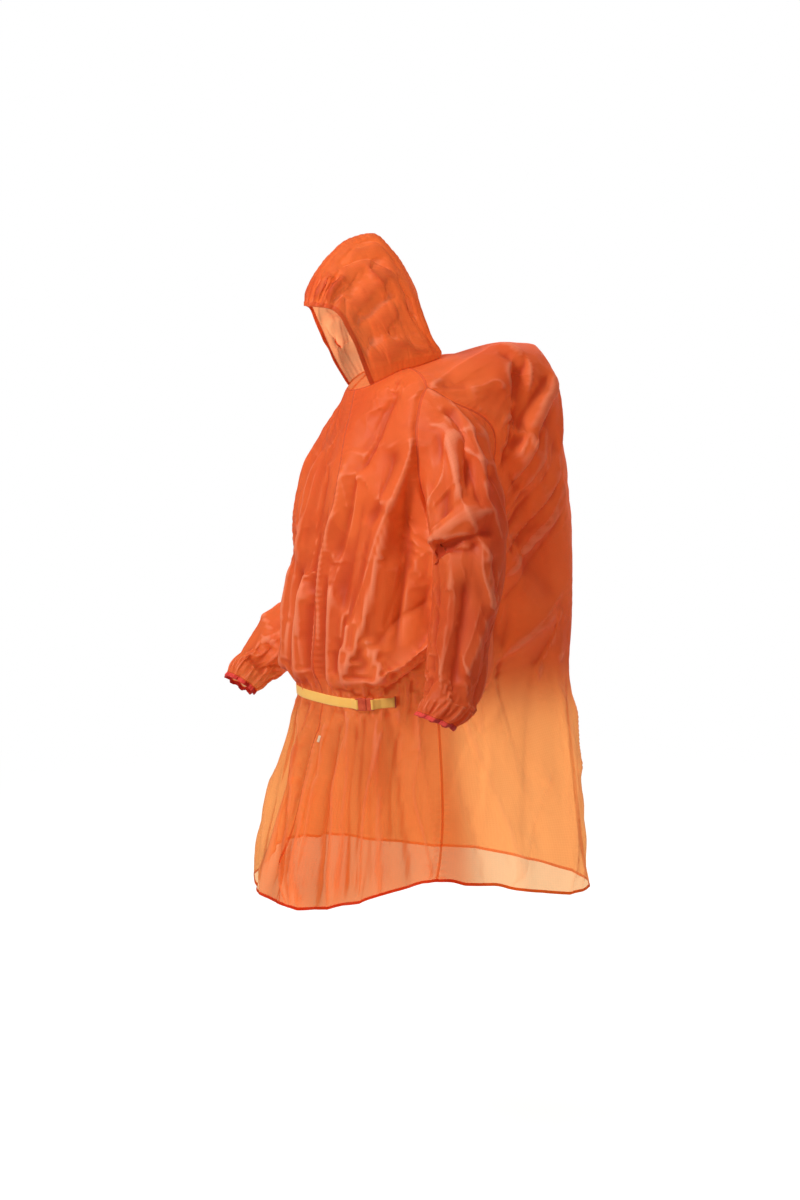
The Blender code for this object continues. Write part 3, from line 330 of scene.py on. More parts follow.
HOOD = Table(
    "row crown_y crown_z width base curve box",
    [
        (0.00, -0.156, 0.180, 0.096, 28, 0.058, 3.4),
        (0.12, -0.142, 0.228, 0.104, 42, 0.044, 2.3),
        (0.26, -0.108, 0.276, 0.110, 60, 0.020, 1.5),
        (0.40, -0.064, 0.312, 0.110, 80, 0.006, 1.2),
        (0.54, -0.018, 0.322, 0.108, 100, 0.0, 1.1),
        (0.68, 0.028, 0.284, 0.104, 120, 0.0, 1.0),
        (0.80, 0.066, 0.222, 0.099, 140, -0.004, 1.0),
        (0.90, 0.085, 0.158, 0.087, 156, -0.006, 1.0),
        (1.00, 0.098, 0.106, 0.074, 168, -0.004, 1.0),
    ],
)
HOOD_ACROSS, HOOD_ALONG = 0.30, 0.62  # metres from crown to neck seam, and from brow to nape
HOOD_FOLDS = [
    ((0.06, 0.0), (0.10, 0.16), 0.010, 0.005),
    ((0.14, 0.0), (0.18, 0.14), 0.009, -0.004),
    ((0.22, 0.0), (0.26, 0.17), 0.010, 0.006),
    ((0.30, 0.0), (0.33, 0.14), 0.009, -0.004),
    ((0.38, 0.0), (0.34, 0.22), 0.011, 0.007),
    ((0.47, 0.0), (0.44, 0.16), 0.010, -0.005),
    ((0.56, 0.02), (0.50, 0.20), 0.012, 0.005),
    ((0.66, 0.10), (0.36, 0.62), 0.018, 0.008),
    ((0.76, 0.10), (0.52, 0.56), 0.017, -0.007),
    ((0.24, 0.24), (0.20, 0.50), 0.018, 0.006),
    ((0.86, 0.20), (0.74, 0.62), 0.018, 0.006),
    ((0.60, 0.62), (0.92, 0.84), 0.018, 0.006),
]
# Creases laid on the settled cloth: a line of places, width, height, and how much sharper its one side is.
BODY_CREASES = [
    (((62, 0.14), (80, 0.13), (98, 0.10), (122, 0.09), (165, 0.09)), 0.006, 0.0030, 0.0),
    (((80, 0.14), (94, 0.16), (106, 0.22), (114, 0.31)), 0.007, 0.0050, 0.4),
    (((104, 0.15), (112, 0.16), (120, 0.17), (122, 0.20)), 0.006, 0.0040, 0.3),
    (((86, 0.17), (94, 0.18), (100, 0.21)), 0.009, -0.0055, 0.0),
    (((142, 0.14), (128, 0.17), (124, 0.23), (114, 0.30)), 0.007, 0.0074, 0.3),
    (((146, 0.15), (133, 0.19), (125, 0.25), (118, 0.29)), 0.008, -0.0068, 0.0),
    (((149, 0.22), (134, 0.25), (124, 0.28), (116, 0.32)), 0.008, -0.0068, 0.0),
    (((154, 0.24), (137, 0.28), (127, 0.32), (114, 0.37)), 0.008, 0.0088, 0.4),
    (((144, 0.31), (132, 0.35), (112, 0.41)), 0.006, 0.0068, 0.4),
    (((150, 0.33), (134, 0.38), (114, 0.43)), 0.008, -0.0054, 0.0),
    (((150, 0.36), (136, 0.41), (113, 0.46)), 0.006, 0.0074, 0.4),
    (((152, 0.39), (138, 0.44), (113, 0.50)), 0.007, 0.0054, -0.3),
    (((148, 0.44), (132, 0.50), (112, 0.55)), 0.009, -0.0047, 0.0),
    (((150, 0.58), (134, 0.62), (116, 0.66)), 0.007, 0.0045, 0.3),
    (((150, 0.61), (146, 0.66), (138, 0.73)), 0.007, 0.0050, -0.3),
    (((67, 0.04), (53, 0.10), (38, 0.16), (32, 0.19)), 0.010, -0.0055, 0.0),
    (((40, 0.17), (32, 0.21), (28, 0.30), (18, 0.45), (14, 0.59), (12, 0.68)), 0.007, 0.0050, 0.4),
    (
        ((76, 0.15), (60, 0.23), (48, 0.30), (39, 0.39), (29, 0.51), (26, 0.60), (31, 0.67)),
        0.008, 0.0065, 0.4,
    ),
    (((79, 0.15), (66, 0.24), (64, 0.30), (66, 0.38), (70, 0.50)), 0.008, 0.0055, -0.3),
    (((58, 0.27), (54, 0.36), (50, 0.46), (44, 0.54)), 0.009, -0.0045, 0.0),
    (((34, 0.28), (28, 0.38), (22, 0.50), (20, 0.66)), 0.008, -0.0045, 0.0),
    (((74, 0.48), (58, 0.51), (48, 0.53), (41, 0.57)), 0.009, -0.0065, 0.0),
    (((76, 0.54), (64, 0.58), (54, 0.60), (38, 0.66)), 0.008, 0.0070, 0.4),
    (((74, 0.60), (60, 0.63), (50, 0.67)), 0.009, -0.0050, 0.0),
    (((37, 0.55), (39, 0.60), (42, 0.68)), 0.006, 0.0045, 0.0),
    (((22, 0.22), (24, 0.30)), 0.005, 0.0030, 0.0),
    (((21, 0.29), (14, 0.33), (8, 0.39), (2, 0.52), (2, 0.60), (5, 0.68)), 0.006, 0.0060, 0.3),
    (((8, 0.48), (8, 0.58), (8, 0.68)), 0.006, -0.0045, 0.0),
    (((-2, 0.18), (-4, 0.26), (-13, 0.41), (-12, 0.51), (-8, 0.68)), 0.007, 0.0055, 0.3),
    (((-18, 0.17), (-18, 0.25), (-26, 0.40), (-28, 0.50), (-20, 0.68)), 0.007, 0.0050, 0.3),
    (((3, 0.27), (1, 0.36), (-5, 0.44), (-4, 0.55), (-2, 0.67)), 0.008, -0.0050, 0.0),
    (((-22, 0.72), (-10, 0.80), (2, 0.94), (12, 1.10)), 0.008, 0.0094, 0.5),
    (((0, 0.72), (8, 0.78), (12, 0.86)), 0.007, -0.0056, 0.0),
    (((10, 0.72), (12, 0.85), (14, 0.94), (16, 1.10)), 0.007, 0.0075, -0.3),
    (((20, 0.72), (17, 0.82), (19, 0.96), (21, 1.10)), 0.009, -0.0069, 0.0),
    (((26, 0.72), (22, 0.85), (24, 0.93), (26, 1.10)), 0.007, 0.0075, 0.3),
    (((31, 0.71), (29, 0.84), (31, 1.00), (31, 1.10)), 0.009, -0.0069, 0.0),
    (((45, 0.72), (38, 0.85), (36, 0.93), (36, 1.10)), 0.008, 0.0094, 0.5),
    (((54, 0.72), (47, 0.83), (46, 1.00)), 0.009, -0.0056, 0.0),
    (((63, 0.74), (56, 0.86), (58, 0.98), (61, 1.10)), 0.007, 0.0050, 0.2),
    (((-36, 0.72), (-28, 0.90), (-14, 1.08)), 0.008, 0.0063, 0.3),
    (((-14, 0.78), (-8, 0.90), (-3, 1.08)), 0.008, -0.0063, 0.0),
    (((132, 0.86), (112, 0.97), (94, 1.10)), 0.008, 0.0045, 0.3),
    (((126, 0.88), (108, 1.00)), 0.009, -0.0035, 0.0),
    (((158, 0.76), (148, 0.84), (138, 0.91), (124, 1.10)), 0.009, 0.0080, 0.5),
    (((170, 0.70), (156, 0.90), (140, 1.10)), 0.010, -0.0050, 0.0),
    (((180, 0.60), (176, 0.82), (168, 1.10)), 0.009, 0.0050, 0.2),
    (((190, 0.74), (192, 0.92), (188, 1.10)), 0.010, -0.0045, 0.0),
    (((164, 0.14), (172, 0.30), (162, 0.52)), 0.009, 0.0055, 0.3),
    (((196, 0.18), (188, 0.36), (192, 0.58)), 0.010, -0.0050, 0.0),
    (((212, 0.20), (204, 0.40), (216, 0.66)), 0.009, 0.0050, 0.3),
    (((176, 0.34), (182, 0.50), (174, 0.74)), 0.009, -0.0045, 0.0),
    (((98, 0.52), (104, 0.66), (100, 0.86)), 0.009, 0.0040, 0.2),
]
CREASE_DEPTH, HEM_FLARE, HEM_DROOP = 1.5, 0.9, 0.8
FLARE_FROM, FLARE_OVER, DROOP_FROM, DROOP_OVER = 0.80, 0.30, 0.88, 0.20  # levels
CREASE_BELT, CREASE_BELT_FADE, CREASE_FRONT, CREASE_FRONT_FADE = 0.060, 0.046, 60, 8  # none under the belt
BROW_CREASE, BROW_FADE, HOOD_CREASE_DEPTH = (0.25, 0.75), 0.07, 1.4  # creases are low on the elastic brow
# The side away from the camera has the same kinds of crease, a little further on.
MIRROR_FROM, MIRROR_TO, MIRROR_TURN, MIRROR_DROP, MIRROR_SHARE = 24, 160, 3, 0.012, 0.9

SLEEVE_CREASES = {
    "left": [
        (((12, 0.06), (30, 0.11), (30, 0.14), (8, 0.20), (-16, 0.22), (-60, 0.18)), 0.006, 0.0050, 0.3),
        (((26, 0.11), (6, 0.14), (-30, 0.13), (-70, 0.09)), 0.006, 0.0035, 0.0),
        (((40, 0.10), (44, 0.18), (42, 0.26), (30, 0.33), (14, 0.38)), 0.006, 0.0050, 0.4),
        (((24, 0.20), (14, 0.27), (4, 0.34)), 0.010, -0.0050, 0.0),
        (((38, 0.11), (52, 0.15), (64, 0.19), (94, 0.18)), 0.006, 0.0045, 0.3),
        (((62, 0.23), (66, 0.30)), 0.010, -0.0050, 0.0),
        (((116, 0.30), (72, 0.35), (40, 0.37), (6, 0.39)), 0.006, 0.0060, 0.5),
        (((104, 0.34), (60, 0.40), (30, 0.42), (10, 0.40)), 0.009, -0.0070, 0.0),
        (((-6, 0.26), (-14, 0.33), (-36, 0.40)), 0.006, 0.0045, 0.3),
        (((-36, 0.24), (-44, 0.32), (-62, 0.38)), 0.007, 0.0040, 0.0),
        (((8, 0.40), (6, 0.47), (-16, 0.56), (-36, 0.60)), 0.006, 0.0050, 0.4),
        (((-12, 0.44), (-26, 0.50), (-44, 0.54)), 0.008, -0.0045, 0.0),
        (((0, 0.55), (10, 0.66), (20, 0.74), (4, 0.80)), 0.007, 0.0040, 0.3),
        (((-28, 0.46), (-42, 0.56), (-56, 0.66)), 0.007, 0.0040, 0.3),
        (((118, 0.34), (96, 0.47), (100, 0.66)), 0.010, -0.0050, 0.0),
        (((60, 0.44), (52, 0.60), (62, 0.80), (56, 0.92)), 0.007, 0.0030, 0.3),
        (((34, 0.50), (36, 0.64), (30, 0.82)), 0.010, -0.0035, 0.0),
        (((-80, 0.24), (-96, 0.40), (-84, 0.60)), 0.008, 0.0045, 0.3),
        (((-120, 0.36), (-130, 0.56), (-112, 0.80)), 0.009, -0.0045, 0.0),
        (((150, 0.40), (166, 0.58), (150, 0.84)), 0.008, 0.0045, 0.3),
        (((-60, 0.72), (-74, 0.84), (-66, 0.94)), 0.007, 0.0040, 0.2),
    ],
    "right": [
        (((10, 0.06), (-20, 0.12), (-34, 0.22), (-30, 0.34)), 0.007, 0.0050, 0.3),
        (((10, 0.08), (6, 0.18), (16, 0.30)), 0.007, 0.0045, 0.3),
        (((16, 0.08), (40, 0.16), (74, 0.20)), 0.007, 0.0045, 0.3),
        (((-60, 0.10), (-66, 0.24), (-90, 0.34)), 0.008, -0.0050, 0.0),
        (((30, 0.42), (80, 0.46), (120, 0.44)), 0.007, 0.0050, 0.4),
        (((40, 0.50), (90, 0.54), (140, 0.52)), 0.008, 0.0055, 0.4),
        (((60, 0.55), (110, 0.59), (160, 0.57)), 0.009, -0.0060, 0.0),
        (((70, 0.62), (120, 0.65), (170, 0.63)), 0.007, 0.0050, 0.3),
        (((100, 0.84), (140, 0.84), (158, 0.79), (-170, 0.72)), 0.007, 0.0050, 0.4),
        (((120, 0.92), (150, 0.95), (-172, 0.92)), 0.008, -0.0045, 0.0),
        (((0, 0.46), (-12, 0.62), (4, 0.84)), 0.007, 0.0045, 0.3),
        (((-50, 0.48), (-60, 0.66), (-44, 0.86)), 0.008, -0.0045, 0.0),
        (((-96, 0.44), (-104, 0.62), (-90, 0.86)), 0.007, 0.0045, 0.3),
        (((-140, 0.50), (-150, 0.70), (-134, 0.90)), 0.008, 0.0040, 0.3),
        (((50, 0.70), (66, 0.80), (60, 0.92)), 0.007, 0.0040, 0.2),
    ],
}
HOOD_CREASES = [
    (((0.08, 0.0), (0.09, 0.06), (0.14, 0.14)), 0.005, 0.0035, 0.0),
    (((0.20, 0.02), (0.24, 0.12), (0.28, 0.18)), 0.007, -0.0040, 0.0),
    (((0.28, 0.01), (0.33, 0.09), (0.37, 0.20)), 0.005, 0.0040, 0.3),
    (((0.40, 0.02), (0.44, 0.12), (0.44, 0.22)), 0.007, -0.0040, 0.0),
    (((0.48, 0.01), (0.56, 0.12), (0.55, 0.22), (0.47, 0.33)), 0.006, 0.0028, 0.3),
    (((0.74, 0.03), (0.66, 0.10), (0.60, 0.14)), 0.005, 0.0020, 0.3),
    (((0.80, 0.08), (0.76, 0.23), (0.70, 0.39), (0.64, 0.54)), 0.007, 0.0060, 0.4),
    (((0.86, 0.22), (0.80, 0.36), (0.74, 0.50)), 0.010, -0.0050, 0.0),
    (((0.93, 0.05), (0.88, 0.17), (0.84, 0.30)), 0.006, 0.0045, 0.3),
    (((0.26, 0.22), (0.36, 0.33), (0.40, 0.45), (0.52, 0.60)), 0.008, 0.0040, 0.2),
    (((0.44, 0.38), (0.54, 0.41), (0.66, 0.45)), 0.009, -0.0040, 0.0),
    (((0.50, 0.60), (0.60, 0.65), (0.76, 0.62)), 0.008, 0.0040, 0.2),
    (((0.16, 0.34), (0.20, 0.52), (0.34, 0.70)), 0.009, 0.0030, 0.2),
]
NAPE_ROWS, HOOD_TURN, HOOD_TURN_FADE = 0.14, -8.0, 0.5
HOOD_FLAT, CROWN_FLAT = 0.12, 0.05  # folds fade over this share from neck seam and nape, and from the crown


# ---------------------------------------------------------------------------------- surfaces
CREST_FALL, CREST_ROUND, CREST_START = 1.6, 0.10, 0.316  # a fold's section: its slope and how round it is
CUSP_FALL, CUSP_ROUND, CUSP_START = 1.3, 0.03, 0.173  # a crease's section is sharper
CUSP_SHARE, FLANK_SHARE, FLANK_WIDE = 0.42, 0.58, 3.2  # and it stands on a soft flank
FOLD_END, FOLD_FADE = 0.35, 3.5  # folds and creases run out towards their ends
CREASE_END, CREASE_FADE = 0.25, 5
CREASE_REACH = 8  # widths


def smooth_step(share):
    share = np.clip(share, 0, 1)
    return share * share * (3 - 2 * share)


def wrapped(angle):
    """The same angle from -180 to 180 degrees."""
    return (angle + 180) % 360 - 180


def running(steps):
    """Places along a line from the lengths of its steps."""
    return np.concatenate([[0], np.cumsum(steps)])


def interpolated(place, knots, points):
    """Points at places along a line that is given by its knots."""
    return np.stack([np.interp(place, knots, points[:, i]) for i in range(3)], axis=-1)


def crest(distance, width):
    """A fold's section: crisp at its crest, with long soft flanks."""
    share = distance / width
    return np.exp(-CREST_FALL * (np.sqrt(share * share + CREST_ROUND) - CREST_START))


def fold_lift(across, along, across_size, along_size, folds):
    """The lift from straight folds. The two sizes turn steps across and along into metres."""
    lift = np.zeros(np.broadcast(across, along).shape)
    for (across_0, along_0), (across_1, along_1), width, height in folds:
        away = wrapped(across - across_0) * across_size
        below = (along - along_0) * along_size
        run, drop = (across_1 - across_0) * across_size, (along_1 - along_0) * along_size
        place = (away * run + below * drop) / (run**2 + drop**2)
        share = np.clip(place, 0, 1)
        distance = np.hypot(away - run * share, below - drop * share)
        ends = smooth_step(FOLD_END + FOLD_FADE * (0.5 - abs(share - 0.5)))
        lift += height * crest(distance, width) * ends
    return lift


def curved(line, steps=5):
    """More points on a smooth curve through the points of a line."""
    return resample(np.array(line, dtype=float)[:, None, :], False, steps, rows_only=True)[:, 0]


def crease_lift(across, along, across_size, along_size, creases):
    """The lift from crisp creases, each a cusp with a sharper and a softer flank that fades at its ends."""
    across, along, across_size = np.broadcast_arrays(across, along, across_size)
    total = np.zeros(across.shape)
    for line, width, height, skew in creases:
        line = np.array(line, dtype=float)
        line[:, 0] = line[0, 0] + running(wrapped(np.diff(line[:, 0])))
        points = curved(line)
        reach = CREASE_REACH * width
        low, high = points[:, 1].min() - reach / along_size, points[:, 1].max() + reach / along_size
        middle = points[:, 0].mean()
        turns = wrapped(across - middle) + middle
        spread = reach / np.maximum(across_size, 1e-5)
        near = (along > low) & (along < high)
        near &= (turns > points[:, 0].min() - spread) & (turns < points[:, 0].max() + spread)
        if not near.any():
            continue
        place, size = np.stack([turns[near], along[near]]), across_size[near]
        best, signed, share = np.full(len(size), 1e9), np.zeros(len(size)), np.zeros(len(size))
        for number, (start, end) in enumerate(zip(points[:-1], points[1:], strict=True)):
            run, drop = (end[0] - start[0]) * size, (end[1] - start[1]) * along_size
            away, below = (place[0] - start[0]) * size, (place[1] - start[1]) * along_size
            part = np.clip((away * run + below * drop) / (run**2 + drop**2), 0, 1)
            gap = np.hypot(away - run * part, below - drop * part)
            closer = gap < best
            side = np.sign(run * below - drop * away)
            best, signed = np.where(closer, gap, best), np.where(closer, side, signed)
            share = np.where(closer, (number + part) / (len(points) - 1), share)
        flank = width * (1 + skew * signed)
        cusp = np.exp(-CUSP_FALL * (np.sqrt((best / flank) ** 2 + CUSP_ROUND) - CUSP_START))
        rise = CUSP_SHARE * cusp + FLANK_SHARE * np.exp(-((best / flank / FLANK_WIDE) ** 2))
        ends = smooth_step(CREASE_END + CREASE_FADE * (0.5 - np.abs(share - 0.5)))
        total[near] += CREASE_DEPTH * height * rise * ends
    return total


def with_mirrored(creases):
    """The creases, and those that lie on the wearer's left again on the right."""
    far = []
    for line, width, height, skew in creases:
        angles = [angle for angle, _ in line]
        if MIRROR_FROM < min(angles) and max(angles) < MIRROR_TO:
            line = tuple((-angle - MIRROR_TURN, level + MIRROR_DROP) for angle, level in line)
            far.append((line, width, height * MIRROR_SHARE, -skew))
    return creases + far


def body_smooth(angle, level):
    """Points on the body without its folds, and their distance from its axis."""
    turn = np.radians(angle)
    side, ahead = np.sin(turn), np.cos(turn)
    mid = BODY.at("mid", level)
    in_front = ahead > 0
    reach = np.where(in_front, BODY.at("front", level) + mid, BODY.at("back", level) - mid)
    power = np.where(in_front, BODY.at("square_front", level), BODY.at("square_back", level))
    width, facing = BODY.at("half_width", level), np.abs(ahead)
    radius = ((np.abs(side) / width) ** power + (facing / reach) ** power) ** (-1 / power)
    z_end = np.where(in_front, BODY.at("z_front", level), BODY.at("z_back", level))
    z_side = BODY.at("z_side", level)
    hem = smooth_step((level - HEM_START) / (HEM_LEVEL - HEM_START))
    behind = facing**BACK_LIFT_POWER * (1 - hem) + (1 - (1 - facing) ** HEM_LIFT_POWER) * hem
    share = np.where(in_front, facing**2, behind)
    z = z_side + (z_end - z_side) * share + BODY.at("tilt", level) * side
    rise = np.where(side > 0, RISE_LEFT, RISE_RIGHT)
    away = (np.abs(wrapped(angle)) - RISE_ANGLE) / RISE_WIDE
    z = z + rise * hem * np.exp(-(away**2))
    return np.stack([radius * side, mid - radius * ahead, z], axis=-1), radius


def normals_of(surface, first, second, step_first, step_second):
    along = surface(first + step_first, second) - surface(first - step_first, second)
    down = surface(first, second + step_second) - surface(first, second - step_second)
    normal = np.cross(down, along)
    return normal / np.linalg.norm(normal, axis=-1, keepdims=True)


def smooth_normals(angle, level):
    """Which way is out on the body without its folds."""
    return normals_of(lambda a, b: body_smooth(a, b)[0], angle, level, 0.5, 0.004)


def body_point(angle, level):
    angle, level = np.broadcast_arrays(np.asarray(angle, float), np.clip(level, 0.0, HEM_LEVEL))
    smooth, radius = body_smooth(angle, level)
    lift = fold_lift(angle, level, np.radians(radius), 1.0, BODY_FOLDS)
    near_belt = smooth_step(1 - np.abs(level - BELT_LEVEL) / BELT_PINCH)
    in_front = smooth_step((BELT_REACH + BELT_FADE - np.abs(wrapped(angle))) / (2 * BELT_FADE))
    lift *= 1 - (1 - BELT_FLAT) * near_belt * in_front
    skirt = SKIRT_AT_BELT + SKIRT_MORE * (level - BELT_LEVEL) / SKIRT_LENGTH
    lift *= FOLD_DEPTH * np.where(level > BELT_LEVEL, skirt, 1)
    return smooth + smooth_normals(angle, level) * (lift - SINK)[..., None]


def armhole_cut(level, widest):
    along = np.clip((level - ARMHOLE_TOP) / (ARMHOLE_LOW - ARMHOLE_TOP), 0, 1)
    return widest * np.sin(np.pi * along) ** ARMHOLE_POWER


def front_edge(level):
    return SIDE.at("angle", level) - armhole_cut(level, ARMHOLE_BEFORE)


def back_edge(level):
    return SIDE.at("angle", level) + armhole_cut(level, ARMHOLE_BEHIND)


def body_levels(rows):
    """Evenly spaced levels, with rows moved onto the armhole's ends and the belt's edges."""
    levels = np.linspace(0, HEM_LEVEL, rows + 1)
    for exact in (ARMHOLE_TOP, ARMHOLE_LOW, BELT_LEVEL - BELT_HALF, BELT_LEVEL + BELT_HALF):
        levels[np.argmin(np.abs(levels - exact))] = exact
    return levels


def front_angles(side, levels):
    level = levels[:, None]
    across = np.linspace(0, 1, FRONT_COLUMNS + 1)[None, :]
    seam, edge = CENTRE.at("angle", level), side * front_edge(level)
    cut = armhole_cut(level, ARMHOLE_BEFORE) * (across**CUT_FADE_FRONT - across)
    angle = seam * (1 - across) + edge * across - side * cut
    return angle, np.broadcast_to(level, angle.shape)


def back_angles(levels):
    level = levels[:, None]
    across = np.linspace(0, 1, BACK_COLUMNS + 1)[None, :]
    edge = back_edge(level)
    shift = ((1 - across) ** CUT_FADE_BACK - (1 - across)) - (across**CUT_FADE_BACK - across)
    angle = edge * (1 - across) + (360 - edge) * across + armhole_cut(level, ARMHOLE_BEHIND) * shift
    return angle, np.broadcast_to(level, angle.shape)


def unit(vectors):
    return vectors / np.maximum(np.linalg.norm(vectors, axis=-1, keepdims=True), 1e-12)


def grid_normals(points, closed, way):
    down = np.gradient(points, axis=0)
    if closed:
        along = (np.roll(points, -1, axis=1) - np.roll(points, 1, axis=1)) / 2
    else:
        along = np.gradient(points, axis=1)
    return unit(np.cross(along, down)) * way


def armhole_loop(side, levels):
    levels = levels[(levels > ARMHOLE_TOP - 1e-6) & (levels < ARMHOLE_LOW + 1e-6)]
    front = body_point(side * front_edge(levels), levels)
    back = body_point(side * back_edge(levels), levels)
    return np.concatenate([front, back[-2:0:-1]])


def sleeve_ring(table, side, ring, around):
    tilt, lean = np.radians(table.at("tilt", ring)), np.radians(table.at("lean", ring))
    outward = np.array([side * np.sin(tilt), 0, np.cos(tilt)])
    forward = np.array([0, -np.cos(lean), np.sin(lean)])
    centre = np.array([side * table.at("x", ring), table.at("y", ring), table.at("z", ring)])
    turn = np.radians(around)[:, None]
    narrow = 1 - table.at("point", ring) * np.cos(turn) ** 2
    size_out, size_fore = table.at("in_out", ring) - SINK, (table.at("fore_aft", ring) - SINK) * narrow
    return centre + outward * size_out * np.cos(turn) + forward * size_fore * np.sin(turn)


def sleeve_grid(name, levels):
    """A sleeve's points, and their angles round the arm and shares of its length."""
    side, table = SIDES[name], SLEEVES[name]
    loop = armhole_loop(side, levels)
    around = np.arange(len(loop)) * 360.0 / len(loop)
    rings = np.linspace(0, 1, SLEEVE_ROWS + 1) ** RING_POWER
    points = []
    for ring in rings:
        join = smooth_step(1 - ring / SLEEVE_JOIN)
        points.append(loop * join + sleeve_ring(table, side, ring, around) * (1 - join))
    points = np.array(points)
    normal = grid_normals(points, True, side)
    degree = np.radians(table.at("fore_aft", rings))[:, None]
    around, rings = around[None, :], rings[:, None]
    lift = fold_lift(around, rings, degree, SLEEVE_LENGTH, SLEEVE_FOLDS[name])
    wrist = np.clip((rings - CUFF_GATHER_FROM) / 0.20, 0, 1) ** CUFF_GATHER_POWER
    lift = lift + wrist * CUFF_GATHER_HEIGHT * np.cos(np.radians(around * CUFF_GATHERS))
    points[1:] += (normal * lift[..., None])[1:]
    return points, np.broadcast_arrays(around, rings)


def neck_seam(side):
    angles = np.linspace(-10, 190, 201)
    return angles, body_point(side * angles, np.zeros(len(angles))) * (side, 1, 1)


def hood_grid(side):
    """One half of the hood, and its points' shares from crown to neck seam and from brow to nape."""
    rows = np.linspace(0, 1, HOOD_ROWS + 1)
    down = np.linspace(0, 1, HOOD_COLUMNS + 1) ** ARCH_POWER
    corners, places = neck_seam(side)
    points = np.zeros((len(rows), len(down), 3))
    free = np.zeros((len(rows), len(down)))
    for k, row in enumerate(rows):
        base = interpolated(HOOD.at("base", row), corners, places)
        crown_y, crown_z, width = (HOOD.at(name, row) for name in ("crown_y", "crown_z", "width"))
        drop = (1 - np.cos(np.pi / 2 * down)) ** HOOD.at("box", row)
        x = width * np.sin(np.pi / 2 * down) - (width - base[0]) * down**3
        y = crown_y + (base[1] - crown_y) * drop + HOOD.at("curve", row) * (x / width) ** 2 * (1 - drop)
        z = crown_z + (base[2] - crown_z) * drop
        arch = np.stack([x, y, z], axis=-1)
        nape = 180 + (HOOD.at("base", row) - 180) * down
        share = np.clip((row - 1 + NAPE_ROWS) / NAPE_ROWS, 0, 1) ** 2
        points[k] = arch * (1 - share) + interpolated(nape, corners, places) * share
        free[k] = smooth_step((1 - down) / HOOD_TURN_FADE) * (1 - share)
    turn = np.radians(HOOD_TURN) * free
    x, y = points[..., 0] * side, points[..., 1].copy()
    points[..., 0] = x * np.cos(turn) - y * np.sin(turn)
    points[..., 1] = x * np.sin(turn) + y * np.cos(turn)
    down, rows = down[None, :], rows[:, None]
    lift = fold_lift(down, rows, HOOD_ACROSS, HOOD_ALONG, HOOD_FOLDS)
    lift *= smooth_step((1 - down) / HOOD_FLAT) * smooth_step((1 - rows) / HOOD_FLAT)
    lift *= smooth_step(down / CROWN_FLAT)
    points = points + grid_normals(points, False, -side) * (lift - SINK)[..., None]
    return points, np.broadcast_arrays(down, rows)


# -------------------------------------------------------------------------------------- meshes
def resample(points, closed, factor, rows_only=False):
    """The grid with factor times the cells each way, through smooth cubic curves."""

    def along_axis(grid, axis, wrap):
        grid = np.moveaxis(grid, axis, 0)
        if wrap:
            padded = np.concatenate([grid[-1:], grid, grid[:2]])
        else:
            padded = np.concatenate([2 * grid[:1] - grid[1:2], grid, 2 * grid[-1:] - grid[-2:-1]])
        spans = len(grid) if wrap else len(grid) - 1
        out = []
        for step in range(factor):
            t = step / factor
            a, b, c, d = (padded[n : n + spans] for n in range(4))
            bend, twist = 2 * a - 5 * b + 4 * c - d, 3 * b - a - 3 * c + d
            out.append(0.5 * (2 * b + (c - a) * t + bend * t**2 + twist * t**3))
        mixed = np.stack(out, axis=1).reshape(-1, *grid.shape[1:])
        if not wrap:
            mixed = np.concatenate([mixed, grid[-1:]])
        return np.moveaxis(mixed, 0, axis)

    down = along_axis(points, 0, False)
    return down if rows_only else along_axis(down, 1, closed)


# ---------------------------------------------------------------------------------- small wrinkles
# Heights in metres. In the calls of noise and ridged a place is multiplied by waves per metre, per turn of a
# sleeve or per share of the hood. Then come the noise's own seed and, round a sleeve, its period.
PUCKER_HEIGHT, PUCKER_STEP, PUCKER_AWAY = 0.0006, 0.013, 0.007
SLEEVE_PUCKERS = 36  # round each end of a sleeve
BELT_GATHERS, UPPER_CRINKLE, SKIRT_CRINKLE, PACK_CRINKLE = 0.0022, 0.0006, 0.0006, 0.0008
SLEEVE_HEAD, ARM_CRINKLE, ARM_FINE, WRIST_GATHERS = 0.0008, 0.0008, 0.0004, 0.0018
BROW_GATHERS, HOOD_CRINKLE, HOOD_FINE = 0.0014, 0.0010, 0.0004
BODY_RADIUS = 0.18  # turns angles on the body into metres for the noise
PACK_ALONG, PACK_UP = 0.43, 0.90  # the way the cloth is drawn over the pack


def noise(x, y, seed, period=64):
    """Smooth random values from -1 to 1, the same on each run, which repeat along x after a period."""
    table = np.random.default_rng(seed).random((64, period)) * 2 - 1
    x, y = np.broadcast_arrays(x, y)
    column, row = np.floor(x).astype(int), np.floor(y).astype(int)
    u, v = smooth_step(x - column), smooth_step(y - row)

    def corner(down, right):
        return table[(row + down) % 64, (column + right) % period]

    top = corner(0, 0) * (1 - u) + corner(0, 1) * u
    low = corner(1, 0) * (1 - u) + corner(1, 1) * u
    return top * (1 - v) + low * v


def ridged(x, y, seed, period=64):
    """Crisp ridges between wide troughs, from -1 to 1."""
    return 1 - 2 * np.sqrt(np.abs(noise(x, y, seed, period)) + 0.01)


def lengths(points):
    """How far each point is along its row and down its column, in metres."""
    along = np.linalg.norm(np.diff(points, axis=1), axis=-1)
    down = np.linalg.norm(np.diff(points, axis=0), axis=-1)
    along = np.concatenate([np.zeros((len(points), 1)), np.cumsum(along, axis=1)], axis=1)
    down = np.concatenate([np.zeros((1, points.shape[1])), np.cumsum(down, axis=0)])
    return along, down


def turned(grid, edge):
    """The grid laid so that its first axis runs away from an edge."""
    return {
        "top": grid,
        "bottom": grid[::-1],
        "first": np.swapaxes(grid, 0, 1),
        "last": np.swapaxes(grid[:, ::-1], 0, 1),
    }[edge]


